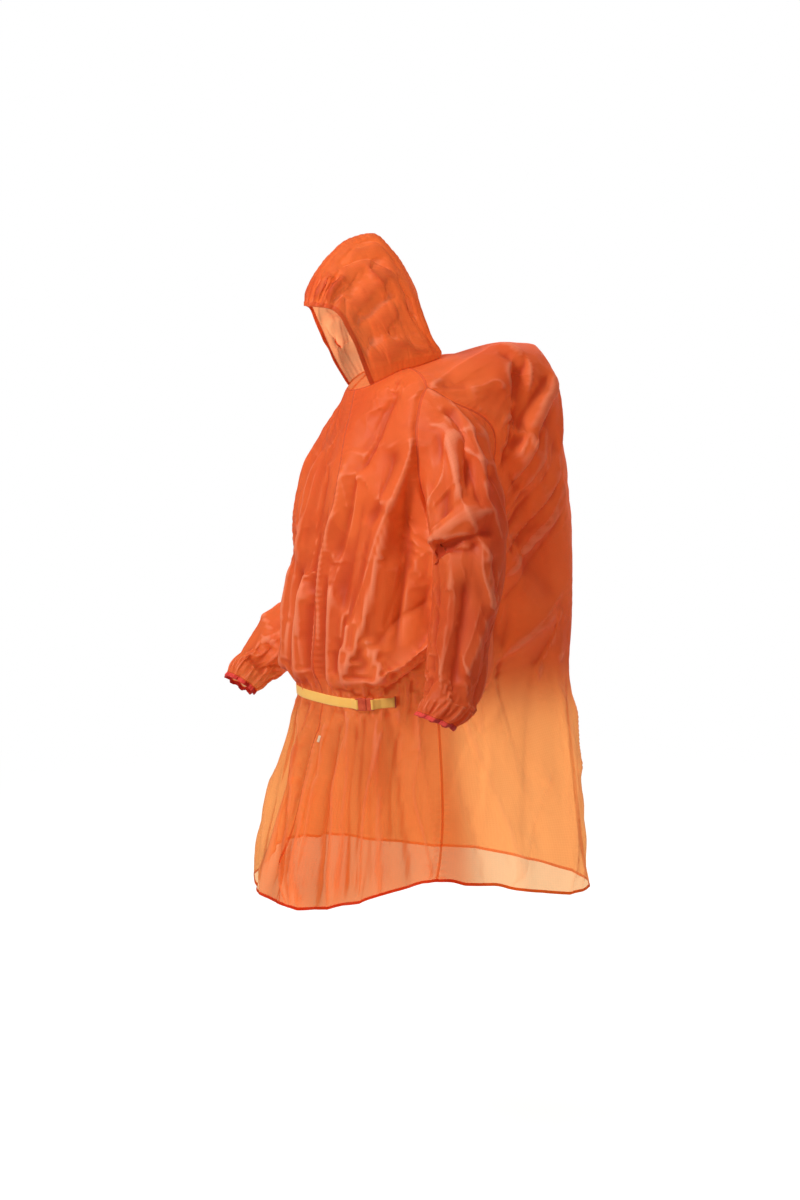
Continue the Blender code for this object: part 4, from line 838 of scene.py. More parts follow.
def turned_back(grid, edge):
    return {
        "top": grid,
        "bottom": grid[::-1],
        "first": np.swapaxes(grid, 0, 1),
        "last": np.swapaxes(grid, 0, 1)[:, ::-1],
    }[edge]


def from_edge(points, edge):
    """Distance from an edge, and place along it, at each point of a grid."""
    place, distance = lengths(turned(points, edge))
    place = np.broadcast_to(place[:1], distance.shape)
    return turned_back(distance, edge), turned_back(place, edge)


def pucker(distance, place, seed):
    """Little gathers beside a seam: none on it, and most a few millimetres from it."""
    share = distance / PUCKER_AWAY
    wave = np.sin(place * 2 * np.pi / PUCKER_STEP + 2.2 * noise(place * 40, distance * 20, seed))
    uneven = 0.6 + 0.6 * noise(place * 14, distance * 4, seed + 1)
    return PUCKER_HEIGHT * wave * share * np.exp(1 - share) * uneven


def body_wrinkles(angle, level):
    """Gathers at the belt, crinkles above and below it, and cloth drawn towards the pack's far corners."""
    turn = wrapped(angle)
    away, across = np.abs(turn), np.radians(turn) * BODY_RADIUS
    bend = noise(across * 8, level * 9, 20)
    gap = np.abs(level - BELT_LEVEL)
    near = np.exp(-np.maximum(gap - BELT_HALF, 0) / 0.035) * smooth_step((70 - away) / 12)
    near = near * (0.15 + 0.85 * smooth_step((gap - 0.008) / 0.014))
    lift = BELT_GATHERS * near * ridged(across * 80 + 0.8 * bend, level * 6, 21)
    upper = smooth_step((BELT_LEVEL - level) / 0.05) * smooth_step(level / 0.08)
    uneven = 0.5 + 0.8 * noise(across * 9, level * 5, 23)
    lift += UPPER_CRINKLE * upper * ridged(across * 34 + 1.3 * bend, level * 4.5, 22) * uneven
    below = smooth_step((level - BELT_LEVEL) / 0.05)
    uneven = 0.5 + 0.7 * noise(across * 9, level * 3, 25)
    lift += SKIRT_CRINKLE * below * ridged(across * 40 + bend, level * 2.2, 24) * uneven
    side = np.abs(across)
    cross, run = side * PACK_ALONG + level * PACK_UP, side * PACK_UP - level * PACK_ALONG
    pack = smooth_step((away - 104) / 10) * smooth_step((172 - away) / 20)
    pack = pack * smooth_step((level - 0.12) / 0.08) * smooth_step((0.66 - level) / 0.1)
    lift += PACK_CRINKLE * pack * ridged(cross * 34 + 0.8 * bend, run * 5, 26)
    return lift


def sleeve_wrinkles(around, ring):
    """Gathers that fan out from the armhole, crinkles on the arm, and gathers at the wrist."""
    turns = around / 360
    bend = noise(turns * 6, ring * 7, 31, 6)
    star = smooth_step((0.34 - ring) / 0.24) * smooth_step(ring / 0.05)
    lift = SLEEVE_HEAD * star * ridged(turns * 26 + bend, ring * 3, 32, 26)
    arm = smooth_step((ring - 0.26) / 0.1) * smooth_step((0.97 - ring) / 0.08)
    wavy = ring * 13 + 1.2 * np.sin(turns * 4 * np.pi)
    lift += ARM_CRINKLE * arm * ridged(turns * 9 + 1.4 * bend, wavy, 33, 9)
    lift += ARM_FINE * arm * ridged(turns * 22 + bend, ring * 9, 34, 22)
    wrist = smooth_step((ring - 0.86) / 0.14)
    return lift + WRIST_GATHERS * wrist * np.cos(turns * 2 * np.pi * 23 + 2.5 * bend)


def hood_wrinkles(across, row):
    """Gathers behind the elastic brow, and crinkles on the rest."""
    bend = noise(across * 5, row * 5, 41)
    brow = np.exp(-row / 0.09) * smooth_step(row / 0.015) * smooth_step((0.8 - across) / 0.3)
    lift = BROW_GATHERS * brow * ridged(across * 22 + 0.6 * bend, row * 5, 42)
    middle = smooth_step(row / 0.1) * smooth_step((1 - across) / 0.1) * smooth_step((1 - row) / 0.1)
    lift += HOOD_CRINKLE * middle * ridged(across * 9 + 1.5 * bend, row * 7 + 2 * across, 43)
    lift += HOOD_FINE * middle * ridged(across * 18, row * 16 + bend, 44)
    return lift * smooth_step(across / 0.04)


# -------------------------------------------------------------------------------------- panels
def make_panels():
    """Every panel: its points, places, which way is out, and the edges that are sewn to another panel."""
    levels = body_levels(BODY_ROWS)
    body = dict(wrinkles=body_wrinkles, creases=body_creases, droop=hem_droop, held=held_by_belt)
    body.update(closed=False, sewn=("first", "last", "top"))
    panels = {}
    for name, side in SIDES.items():
        places = front_angles(side, levels)
        front = dict(points=body_point(*places), places=places, way=-side)
        panels["front_" + name] = {**body, **front, "crossed": ("first",), "facing": body_facing}
    places = back_angles(levels)
    panels["back"] = {**body, "points": body_point(*places), "places": places, "way": -1}
    for name, side in SIDES.items():
        points, places = sleeve_grid(name, levels)
        sleeve = dict(points=points, places=places, way=side, closed=True, sewn=("top", "bottom"))
        sleeve.update(wrinkles=sleeve_wrinkles, creases=sleeve_creases(name), held=free_everywhere)
        points, places = hood_grid(side)
        hood = dict(points=points, places=places, way=-side, closed=False, sewn=("first", "last", "bottom"))
        hood.update(wrinkles=hood_wrinkles, creases=hood_creases, held=free_everywhere, calm="top")
        panels["sleeve_" + name], panels["hood_" + name] = sleeve, hood
    return panels


SIM_STEPS, SIM_CAP = 24, 0.013  # no point moves further than the cap from its place on the solid's form
SIM_GROWTH = 0.045  # how much longer the cloth is than the form it lies on
SIM_HOLD = 0.02  # how strongly a point is held to the form, where it isn't sewn
SIM_PIN = 0.001  # points this near a seam are held still
SIM_CALM = 0.03  # small wrinkles start this far from a seam
CALM_SHARE, CALM_REST = 0.3, 0.7  # the share of buckling on an elastic edge, and the rest away from it
SEAM_FADE = 0.075  # the folds fade out over this distance from a seam
WRINKLE_FADE = 0.018  # and small wrinkles and creases over this one
# The ridge and fold marks set where the cloth's material paints highlights and shade.
RIDGE_MARK, FOLD_MARK = (6, 0.0016), (60, 0.0065)  # how far round a point to look, and what counts as high
BELT_HOLD, HOLD_REACH, HOLD_FADE, HOLD_ANGLE, HOLD_ANGLE_FADE = 0.95, 0.022, 0.008, 56, 4


def settle(panels):
    """Lets every panel buckle into folds by a short cloth simulation, held along its seams."""
    sims = []
    for name, panel in panels.items():
        points, places = panel["points"], np.stack(panel["places"], axis=-1)
        lift = panel["wrinkles"](places[..., 0], places[..., 1])
        hold, free = np.full(points.shape[:2], SIM_HOLD), np.ones(points.shape[:2])
        for edge in panel["sewn"]:
            distance = from_edge(points, edge)[0]
            lift = lift * smooth_step(distance / SIM_CALM)
            hold[distance < SIM_PIN] = 1.0
            free = free * smooth_step(distance / SEAM_FADE)
        if "calm" in panel:  # elastic keeps this free edge from buckling much
            distance = from_edge(points, panel["calm"])[0]
            free = free * (CALM_SHARE + CALM_REST * smooth_step(distance / SEAM_FADE))
        panel["free"] = free
        hold = np.maximum(hold, panel["held"](places[..., 0], places[..., 1]))
        start = points + grid_normals(points, panel["closed"], panel["way"]) * lift[..., None]
        sim = mesh_piece("sim_" + name, [(start, panel["way"], panel["closed"])], None)
        group = sim.vertex_groups.new(name="held")
        for number, weight in enumerate(hold.ravel()):
            group.add([number], float(weight), "REPLACE")
        step = sim.modifiers.new("cloth", "CLOTH")
        cloth = step.settings
        cloth.quality, cloth.mass, cloth.air_damping = 5, 0.05, 1.5
        cloth.tension_stiffness, cloth.compression_stiffness, cloth.shear_stiffness = 12, 12, 4
        cloth.bending_stiffness, cloth.bending_damping = 0.004, 0.3
        cloth.tension_damping = cloth.compression_damping = cloth.shear_damping = 3
        cloth.vertex_group_mass, cloth.pin_stiffness = "held", 0.6
        cloth.shrink_min = -SIM_GROWTH
        cloth.effector_weights.gravity = 0.3
        step.collision_settings.use_collision = False
        step.collision_settings.use_self_collision = False
        step.point_cache.frame_start, step.point_cache.frame_end = 1, SIM_STEPS
        sims.append(sim)
    for number in range(1, SIM_STEPS + 1):
        bpy.context.scene.frame_set(number)
    graph = bpy.context.evaluated_depsgraph_get()
    for sim, panel in zip(sims, panels.values(), strict=True):
        mesh = sim.evaluated_get(graph).to_mesh()
        moved = np.empty(len(mesh.vertices) * 3)
        mesh.vertices.foreach_get("co", moved)
        shift = np.nan_to_num(moved.reshape(panel["points"].shape) - panel["points"])
        far = np.linalg.norm(shift, axis=-1, keepdims=True)
        shift *= panel["free"][..., None] * SIM_CAP * np.tanh(far / SIM_CAP) / np.maximum(far, 1e-9)
        panel["points"] = panel["points"] + shift
    bpy.context.scene.frame_set(1)
    for sim in sims:
        mesh = sim.data
        bpy.data.objects.remove(sim, do_unlink=True)
        bpy.data.meshes.remove(mesh)


def body_creases(angle, level):
    radius = np.radians(body_smooth(angle, np.clip(level, 0, HEM_LEVEL))[1])
    under_belt = smooth_step((CREASE_BELT - np.abs(level - BELT_LEVEL)) / CREASE_BELT_FADE)
    under_belt = under_belt * smooth_step((CREASE_FRONT - np.abs(wrapped(angle))) / CREASE_FRONT_FADE)
    flare = 1 + HEM_FLARE * smooth_step((level - FLARE_FROM) / FLARE_OVER)
    lift = crease_lift(angle, level, radius, 1.0, with_mirrored(BODY_CREASES))
    return lift * (1 - under_belt) * flare


def body_facing(angle, level):
    return smooth_normals(angle, np.clip(level, 0.004, HEM_LEVEL - 0.004))


def hem_droop(angle, level):
    """Ridges reach a little lower than troughs at the hem."""
    return HEM_DROOP * smooth_step((level - DROOP_FROM) / DROOP_OVER)


def sleeve_creases(name):
    table = SLEEVES[name]

    def lift(around, ring):
        size = np.radians(table.at("fore_aft", np.clip(ring, 0, 1)))
        return crease_lift(around, ring, size, SLEEVE_LENGTH, SLEEVE_CREASES[name])

    return lift


def hood_creases(across, row):
    at_edge = BROW_CREASE[0] + BROW_CREASE[1] * smooth_step(row / BROW_FADE)
    return HOOD_CREASE_DEPTH * at_edge * crease_lift(across, row, HOOD_ACROSS, HOOD_ALONG, HOOD_CREASES)


def free_everywhere(across, down):
    return np.zeros(np.broadcast(across, down).shape)


def held_by_belt(angle, level):
    """The belt holds the fronts still under it."""
    near = smooth_step((HOLD_REACH - np.abs(level - BELT_LEVEL)) / HOLD_FADE)
    return BELT_HOLD * near * smooth_step((HOLD_ANGLE - np.abs(wrapped(angle))) / HOLD_ANGLE_FADE)


def fine_panel(panel, seed):
    """Refines a panel's grid and adds its small wrinkles, its creases and the gathers along its seams."""
    points = resample(panel["points"], panel["closed"], REFINE)
    places = np.stack(panel["places"], axis=-1)
    if panel["closed"]:
        places = np.concatenate([places, places[:, :1] + (360, 0)], axis=1)
    places = resample(places, False, REFINE)
    if panel["closed"]:
        places = places[:, :-1]
    normal = grid_normals(points, panel["closed"], panel["way"])
    lift = panel["wrinkles"](places[..., 0], places[..., 1])
    crease = panel["creases"](places[..., 0], places[..., 1])
    for number, edge in enumerate(panel["sewn"]):
        distance, place = from_edge(points, edge)
        fade = smooth_step(distance / WRINKLE_FADE)
        lift = lift * fade
        if edge not in panel.get("crossed", ()):
            crease = crease * fade
        if panel["closed"]:
            place = places[..., 0] / 360 * PUCKER_STEP * SLEEVE_PUCKERS
        lift = lift + pucker(distance, place, seed + 10 * number)
    facing = panel["facing"](places[..., 0], places[..., 1]) if "facing" in panel else normal
    if "droop" in panel:
        facing = facing - panel["droop"](places[..., 0], places[..., 1])[..., None] * np.array([0, 0, 1.0])
    panel["points"], panel["places"] = points + normal * lift[..., None] + facing * crease[..., None], places
    panel["normal"] = grid_normals(panel["points"], panel["closed"], panel["way"])
    # The ridge and fold marks set where the cloth's material paints highlights and shade.
    panel["ridge"], panel["fold"] = standing_out(panel, *RIDGE_MARK), standing_out(panel, *FOLD_MARK)


def standing_out(panel, times, size):
    """How far each point stands out of the cloth round it, from -1 in a groove to 1 on a crest."""
    soft = panel["points"]
    for _ in range(times):
        for axis, wrap in ((0, False), (1, panel["closed"])):
            soft = np.moveaxis(soft, axis, 0)
            if wrap:
                wide = np.concatenate([soft[-1:], soft, soft[:1]])
            else:
                wide = np.concatenate([2 * soft[:1] - soft[1:2], soft, 2 * soft[-1:] - soft[-2:-1]])
            soft = np.moveaxis((wide[:-2] + 2 * wide[1:-1] + wide[2:]) / 4, 0, axis)
    return np.tanh(np.sum((panel["points"] - soft) * panel["normal"], axis=-1) / size)


# ------------------------------------------------------------------------------- mesh of many grids
def mesh_piece(name, grids, material):
    """One piece from several grids, each with which way is out, whether it closes, and UVs in metres."""
    points, faces, places = [], [], []
    start = 0
    for grid, way, closed in grids:
        rows, columns = grid.shape[:2]
        spans = columns if closed else columns - 1
        i, j = np.meshgrid(np.arange(rows - 1), np.arange(spans), indexing="ij")
        k = (j + 1) % columns
        corners = [(i, j, j), (i + 1, j, j), (i + 1, k, j + 1), (i, k, j + 1)]
        along, down = lengths(np.concatenate([grid, grid[:, :1]], axis=1) if closed else grid)
        along, down = along.mean(axis=0), down.mean(axis=1)
        quads = np.stack([row * columns + column for row, column, _ in corners], axis=-1).reshape(-1, 4)
        uv = np.stack([np.stack([along[edge], down[row]], axis=-1) for row, _, edge in corners], axis=-2)
        uv = uv.reshape(-1, 4, 2)
        if way > 0:
            quads, uv = quads[:, ::-1], uv[:, ::-1]
        points.append(grid.reshape(-1, 3))
        faces.append(quads + start)
        places.append(uv)
        start += rows * columns
    mesh = bpy.data.meshes.new(name)
    mesh.from_pydata(np.concatenate(points).tolist(), [], np.concatenate(faces).tolist())
    mesh.uv_layers.new(name="cloth").data.foreach_set("uv", np.concatenate(places).ravel())
    mesh.shade_smooth()
    if material:
        mesh.materials.append(material)
    piece = bpy.data.objects.new(name, mesh)
    bpy.context.scene.collection.objects.link(piece)
    return piece


# --------------------------------------------------------------------------------- seams and hems
# Sections of a band: share of its width from the edge, and how far it stands off the cloth as a share.
LAP = ((-0.12, 0.9), (0.0, 1.0), (0.45, 1.0), (0.86, 0.95), (0.96, 0.7), (1.0, 0.1))
TURNED_HEM = (
    (1.0, 0.1), (0.96, 0.7), (0.88, 1.0), (0.5, 1.0), (0.12, 1.1), (0.0, 1.0), (-0.05, 0.0),
    (0.0, -1.0), (0.12, -1.1), (0.5, -1.0), (0.88, -1.0), (0.96, -0.7), (1.0, -0.1),
)
SEAM_HALF, SEAM_STAND = 0.0028, 0.00035
HEM_WIDE, HEM_STAND = 0.006, 0.0004
CASING_WIDE, CASING_STAND = 0.009, 0.0009


def band(panel, edge, width, stand, section):
    """A strip of cloth along an edge of a panel, on both faces where its section says so."""
    grid, normal = turned(panel["points"], edge), turned(panel["normal"], edge)
    distance = lengths(grid)[1]
    shares, stands = np.array(section).T
    over, stands = (np.minimum(shares, 0) * -width)[:, None], stands[:, None]
    out = np.zeros((len(section), grid.shape[1], 3))
    for column in range(grid.shape[1]):
        far = distance[:, column]
        place, facing = (interpolated(shares * width, far, v[:, column]) for v in (grid, normal))
        beyond = (grid[0, column] - grid[1, column]) / max(distance[1, column], 1e-6)
        out[:, column] = place + over * beyond + facing * stands * stand
    way = panel["way"] * {"top": 1, "bottom": -1, "first": -1, "last": 1}[edge]
    return out, -way if section is TURNED_HEM else way, panel["closed"]


def panel_seams(name, panel, material):
    """The laps along a panel's sewn edges, as one piece."""
    grids = [band(panel, edge, SEAM_HALF, SEAM_STAND, LAP) for edge in panel["sewn"]]
    return mesh_piece("seams_" + name, grids, material)


def panel_hem(name, panel, edge, material):
    wide, stand = (HEM_WIDE, HEM_STAND) if edge == "bottom" else (CASING_WIDE, CASING_STAND)
    return mesh_piece(name, [band(panel, edge, wide, stand, TURNED_HEM)], material)


# ---------------------------------------------------------------------------- straps and bindings
CUFF_WIDTH, CUFF_HALF_THICK = 0.009, 0.0014
CUFF_RIBS, CUFF_FINE_RIBS = 31, 47  # round the wrist
CUFF_LAP = 0.0004  # how far the binding reaches over the sleeve's end
STRAP_TAPER = (0.02, 0.8)  # a strap's size at its two outermost rings
BELT_WINDOW, BELT_SMOOTHING, RIDGE_CHECK = 10, 60, 0.008  # how the belt's line bridges the cloth's ridges


def section_ring(count, squareness):
    turn = np.linspace(-np.pi / 2, 3 * np.pi / 2, count)
    across, out = np.cos(turn), np.sin(turn)
    return np.sign(across) * np.abs(across) ** squareness, np.sign(out) * np.abs(out) ** squareness


def square_to(vectors, axis):
    """The vectors without what runs along an axis, one long."""
    return unit(vectors - axis * np.sum(vectors * axis, axis=-1, keepdims=True))


def doubled_ends(path):
    return np.concatenate([path[:1], path[:1], path, path[-1:], path[-1:]])


def sweep(path, across, out, half_wide, half_thick):
    """A flat strap with rounded edges along a path; across and out are its width and thickness axes."""
    wide, thick = section_ring(17, 0.45)
    size = np.concatenate([STRAP_TAPER, np.ones(len(path)), STRAP_TAPER[::-1]])
    path, across, out = (doubled_ends(v) for v in (path, across, out))
    return (
        path
        + across * (half_wide * wide[:, None] * (0.9 + 0.1 * size))[..., None]
        + out * (half_thick * thick[:, None] * size)[..., None]
    )


def smoothed(values, times):
    for _ in range(times):
        inner = (values[:-2] + 2 * values[1:-1] + values[2:]) / 4
        values = np.concatenate([values[:1], inner, values[-1:]])
    return values


def cuff(name, panel, material):
    """Elastic binding on a sleeve's end, drawn into ribs."""
    ends = (panel[key][-1] for key in ("points", "normal"))
    ring, normal = (resample(np.stack([end, end]), True, 2)[0] for end in ends)
    down = unit(ring.mean(axis=0) - panel["points"][-5].mean(axis=0))
    normal = unit(normal - down * (normal @ down)[:, None])
    place = np.arange(len(ring)) / len(ring) * 2 * np.pi
    ribs = 1 + 0.30 * np.sin(place * CUFF_RIBS) + 0.12 * np.sin(place * CUFF_FINE_RIBS + 1)
    wide, thick = section_ring(19, 0.6)
    middle = ring + down * (CUFF_WIDTH / 2 - CUFF_LAP)
    grid = (
        middle
        + down * (CUFF_WIDTH / 2 * wide[:, None] * (1 + 0.05 * np.sin(place * CUFF_RIBS)))[..., None]
        + normal * (CUFF_HALF_THICK * thick[:, None] * ribs)[..., None]
    )
    return mesh_piece("cuff_binding_" + name, [(grid, -panel["way"], True)], material)


# Belt and buckle, as in the CAD: places along the belt are from the buckle's middle.
SLIT_ANGLE, BUCKLE_ANGLE, BUCKLE_OUT = 49.5, 35.0, 0.0019
SOCKET_START, PLUG_END, BAR = -0.018, 0.0197, 0.0026
TAB_ANGLE, TAB_LEVEL, TAB_OUT = 9.5, 0.775, -0.0001
STRAP_HALF_THICK = 0.0006
CLOTH_BACK = BUCKLE_OUT + SINK  # from the buckle's back to the cloth
# The webbing's loop round a bar of the buckle: from the bar's middle towards the buckle's, and out.
BAR_LOOP = [
    (-0.0240, -0.0016), (-0.0100, -0.0015), (0.0000, -0.0014), (0.0030, -0.0008), (0.0041, 0.0012),
    (0.0041, 0.0034), (0.0041, 0.0056), (0.0034, 0.0074), (0.0014, 0.0078), (-0.0006, 0.0070),
    (-0.0022, 0.0044), (-0.0060, 0.0022), (-0.0120, 0.0006), (-0.0240, -0.0002), (-0.0300, -0.0009),
]
STRAP_OUT = -0.0009  # the webbing's middle between the buckle and its slit
SLIT_ENTRY = ((0.001, -0.0022), (0.006, -0.0065), (0.012, -0.0100))  # past the slit, and out
RIGID_REACH, RIGID_FADE = 0.019, 0.014  # near the buckle the webbing follows it and not the cloth
TACK_OUT, TACK_HALF_WIDE, TACK_HALF_THICK, TACK_RIBS = 0.0008, 0.0013, 0.0007, 4
TAB_HALF_WIDE, TAB_HALF_THICK = 0.0030, 0.0003
# Paths of a bar tack and of the tab's loop: places along, up and out.
TACK_PATH = ((0, 0.0115, -0.001), (0, 0.0108, 0.0006), (0, -0.0108, 0.0006), (0, -0.0115, -0.001))
TAB_PATH = (
    (0, 0.0070, 0.0002), (0, -0.0062, 0.0002), (0, -0.0070, 0.0006),
    (0, -0.0062, 0.0011), (0, 0.0066, 0.0009),
)


def body_frame(angle, level):
    """Places, and axes up and out, on the body without its folds."""
    out = smooth_normals(angle, level)
    along = body_smooth(angle + 0.5, level)[0] - body_smooth(angle - 0.5, level)[0]
    return body_smooth(angle, level)[0], np.cross(out, square_to(along, out)), out


def place_on_body(angle, level, out):
    """Frame on the cloth: X along the ring to the wearer's left, Y up the cloth, Z out."""
    here, away = np.asarray(angle, float), np.asarray(level, float)
    normal = Vector(normals_of(body_point, here, away, 1.5, 0.006))
    across = Vector(body_point(angle + 2, level) - body_point(angle - 2, level))
    across = (across - normal * across.dot(normal)).normalized()
    up = normal.cross(across)
    turn = Matrix((across, up, normal)).transposed().to_4x4()
    return Matrix.Translation(Vector(body_point(angle, level)) + normal * (out + SINK)) @ turn


class Belt:
    """The belt's line round the body: place, axes and the height of the cloth's ridges under it."""

    def __init__(self):
        self.angles = np.linspace(-70, 70, 561)
        levels = np.full(len(self.angles), BELT_LEVEL)
        place, self.up, self.out = body_frame(self.angles, levels)
        run = running(np.linalg.norm(np.diff(place, axis=0), axis=-1))
        self.run = run - np.interp(BUCKLE_ANGLE, self.angles, run)
        ridge = np.zeros(len(levels)) - 1
        for shift in (-RIDGE_CHECK, 0, RIDGE_CHECK):
            cloth = body_point(self.angles, levels + shift)
            smooth = body_smooth(self.angles, levels + shift)[0]
            ridge = np.maximum(ridge, np.sum((cloth - smooth) * self.out, axis=-1))
        high = [ridge[max(0, i - BELT_WINDOW) : i + BELT_WINDOW + 1].max() for i in range(len(ridge))]
        self.line = place + self.out * smoothed(np.array(high), BELT_SMOOTHING)[:, None]
        self.frame = np.array(place_on_body(BUCKLE_ANGLE, BELT_LEVEL, BUCKLE_OUT))

    def strap(self, run, out):
        """Path and axes of webbing whose middle is out from the cloth, or from the buckle's back near it."""
        line, over, up = (interpolated(run, self.run, v) for v in (self.line, self.out, self.up))
        on_cloth = line + over * (out + CLOTH_BACK)[:, None]
        rigid = np.stack([run, np.zeros(len(run)), out, np.ones(len(run))], axis=-1) @ self.frame.T
        share = smooth_step((np.abs(run) - RIGID_REACH) / RIGID_FADE)[:, None]
        path = rigid[:, :3] * (1 - share) + on_cloth * share
        along = unit(np.gradient(path, axis=0))
        up = square_to(unit(self.frame[:3, 1] * (1 - share) + up * share), along)
        return path, up, np.cross(along, up)


def belt_half(belt, name, bar, way, material):
    """Webbing from a slit in the cloth to the buckle, round its bar and back under itself."""
    slit = np.interp(way * SLIT_ANGLE, belt.angles, belt.run)
    run, out = np.array(BAR_LOOP).T
    run = bar - way * run
    lead = np.linspace(run[-1] + way * 0.004, slit - way * 0.004, 60)
    past, sunk = np.array(SLIT_ENTRY).T
    run = np.concatenate([run, lead, slit + way * past])
    out = np.concatenate([out, np.full(len(lead), STRAP_OUT), sunk])
    knots = running(np.hypot(np.diff(run), np.diff(out)))
    fine = np.arange(0, knots[-1], 0.0010)
    run, out = (smoothed(np.interp(fine, knots, values), 2) for values in (run, out))
    path, up, over = belt.strap(run, out)
    return mesh_piece(name, [(sweep(path, up, over, BELT_HALF, STRAP_HALF_THICK), 1, False)], material)


def framed_strip(name, frame, path, half_wide, half_thick, material, ribs=0):
    """A short strip in a frame: its path is places along, up and out."""
    path = np.array(path)
    knots = running(np.linalg.norm(np.diff(path, axis=0), axis=-1))
    path = smoothed(interpolated(np.arange(0, knots[-1], min(0.0004, half_wide / 3)), knots, path), 3)
    along = unit(np.gradient(path, axis=0))
    across = np.broadcast_to((1.0, 0, 0), path.shape)
    grid = sweep(path, across, np.cross(across, along), half_wide, half_thick)
    if ribs:
        wave = 1 + 0.18 * np.sin(np.arange(grid.shape[1]) * 2 * np.pi / ribs)
        centre = doubled_ends(path)
        grid = centre + (grid - centre) * wave[None, :, None]
    grid = grid @ np.array(frame)[:3, :3].T + np.array(frame)[:3, 3]
    return mesh_piece(name, [(grid, 1, False)], material)


# -------------------------------------------------------------------------------------- materials
class Shading:
    """A material while its nodes are made."""

    def __init__(self, name):
        self.material = bpy.data.materials.new(name)
        self.material.use_nodes = True
        self.tree = self.material.node_tree
        self.tree.nodes.clear()
        self.place = self.add("ShaderNodeTexCoord").outputs["Object"]
        split = self.add("ShaderNodeSeparateXYZ", {0: self.add("ShaderNodeTexCoord").outputs["UV"]})
        self.along, self.down = split.outputs[0], split.outputs[1]

    def add(self, kind, inputs=(), **settings):
        node = self.tree.nodes.new(kind)
        for key, value in settings.items():
            setattr(node, key, value)
        for key, value in dict(inputs).items():
            if isinstance(value, bpy.types.NodeSocket):
                self.tree.links.new(value, node.inputs[key])
            else:
                node.inputs[key].default_value = value
        return node

    def math(self, operation, *values):
        return self.add("ShaderNodeMath", dict(enumerate(values)), operation=operation).outputs[0]

    def times(self, first, second):
        return self.math("MULTIPLY", first, second)

    def noise(self, scale, detail=2.0, stretch=(1, 1, 1), distortion=0.0, kind="FBM"):
        place = self.place
        if stretch != (1, 1, 1):
            place = self.add("ShaderNodeMapping", {"Vector": place, "Scale": stretch}).outputs[0]
        inputs = {"Vector": place, "Scale": scale, "Detail": detail, "Distortion": distortion}
        return self.add("ShaderNodeTexNoise", inputs, noise_type=kind).outputs[0]

    def ramp(self, value, low, high, out_low=0.0, out_high=1.0):
        inputs = {"Value": value, "From Min": low, "From Max": high, "To Min": out_low, "To Max": out_high}
        return self.add("ShaderNodeMapRange", inputs, interpolation_type="SMOOTHSTEP").outputs[0]

    def mix(self, share, first, second):
        node = self.add("ShaderNodeMix", {0: share}, data_type="RGBA")
        for number, colour in ((6, first), (7, second)):
            if isinstance(colour, bpy.types.NodeSocket):
                self.tree.links.new(colour, node.inputs[number])
            else:
                node.inputs[number].default_value = (*colour, 1.0)
        return node.outputs[2]

    def bump(self, height, depth, under=None):
        inputs = {"Height": height, "Distance": depth, "Strength": 1.0}
        if under is not None:
            inputs["Normal"] = under
        return self.add("ShaderNodeBump", inputs).outputs[0]

    def lines(self, value, step, width):
        """1 on lines of a width that repeat with a step, and 0 between them."""
        return self.ramp(self.math("PINGPONG", value, step / 2), width / 2, width, 1.0, 0.0)

    def surface(self, colour, roughness, normal, **fixed):
        inputs = {"Base Color": colour, "Roughness": roughness, "Normal": normal}
        node = self.add("ShaderNodeBsdfPrincipled", inputs)
        for key, value in fixed.items():
            node.inputs[key.replace("_", " ")].default_value = value
        return node.outputs[0]

    def finish(self, shader):
        self.add("ShaderNodeOutputMaterial", {"Surface": shader})
        return self.material


RIPSTOP, RIPSTOP_WIDE, STITCH = 0.005, 0.00045, 0.0014
# Cloth colours, with painted shade for folds and grooves, painted highlights for crinkles, ridges and seam
# laps, and a painted backlit glow.
CLOTH, CLOTH_DEEP, PAINTED_FOLD_SHADE = (0.84, 0.170, 0.042), (0.72, 0.110, 0.026), (0.38, 0.032, 0.009)
PAINTED_CRINKLE_HIGHLIGHT, PAINTED_RIDGE_HIGHLIGHT, PAINTED_GROOVE_SHADE = (0.93, 0.30, 0.13), (1.0, 0.40, 0.22), (0.52, 0.045, 0.012)
THREAD_DARK, PAINTED_SEAM_LIGHT, STITCH_PALE = (0.52, 0.05, 0.012), (0.98, 0.34, 0.16), (0.95, 0.33, 0.14)
LIT, PAINTED_BACKLIT_GLOW, CLEAR = (1.0, 0.30, 0.075), (1.0, 0.64, 0.34), (1.0, 0.68, 0.38)


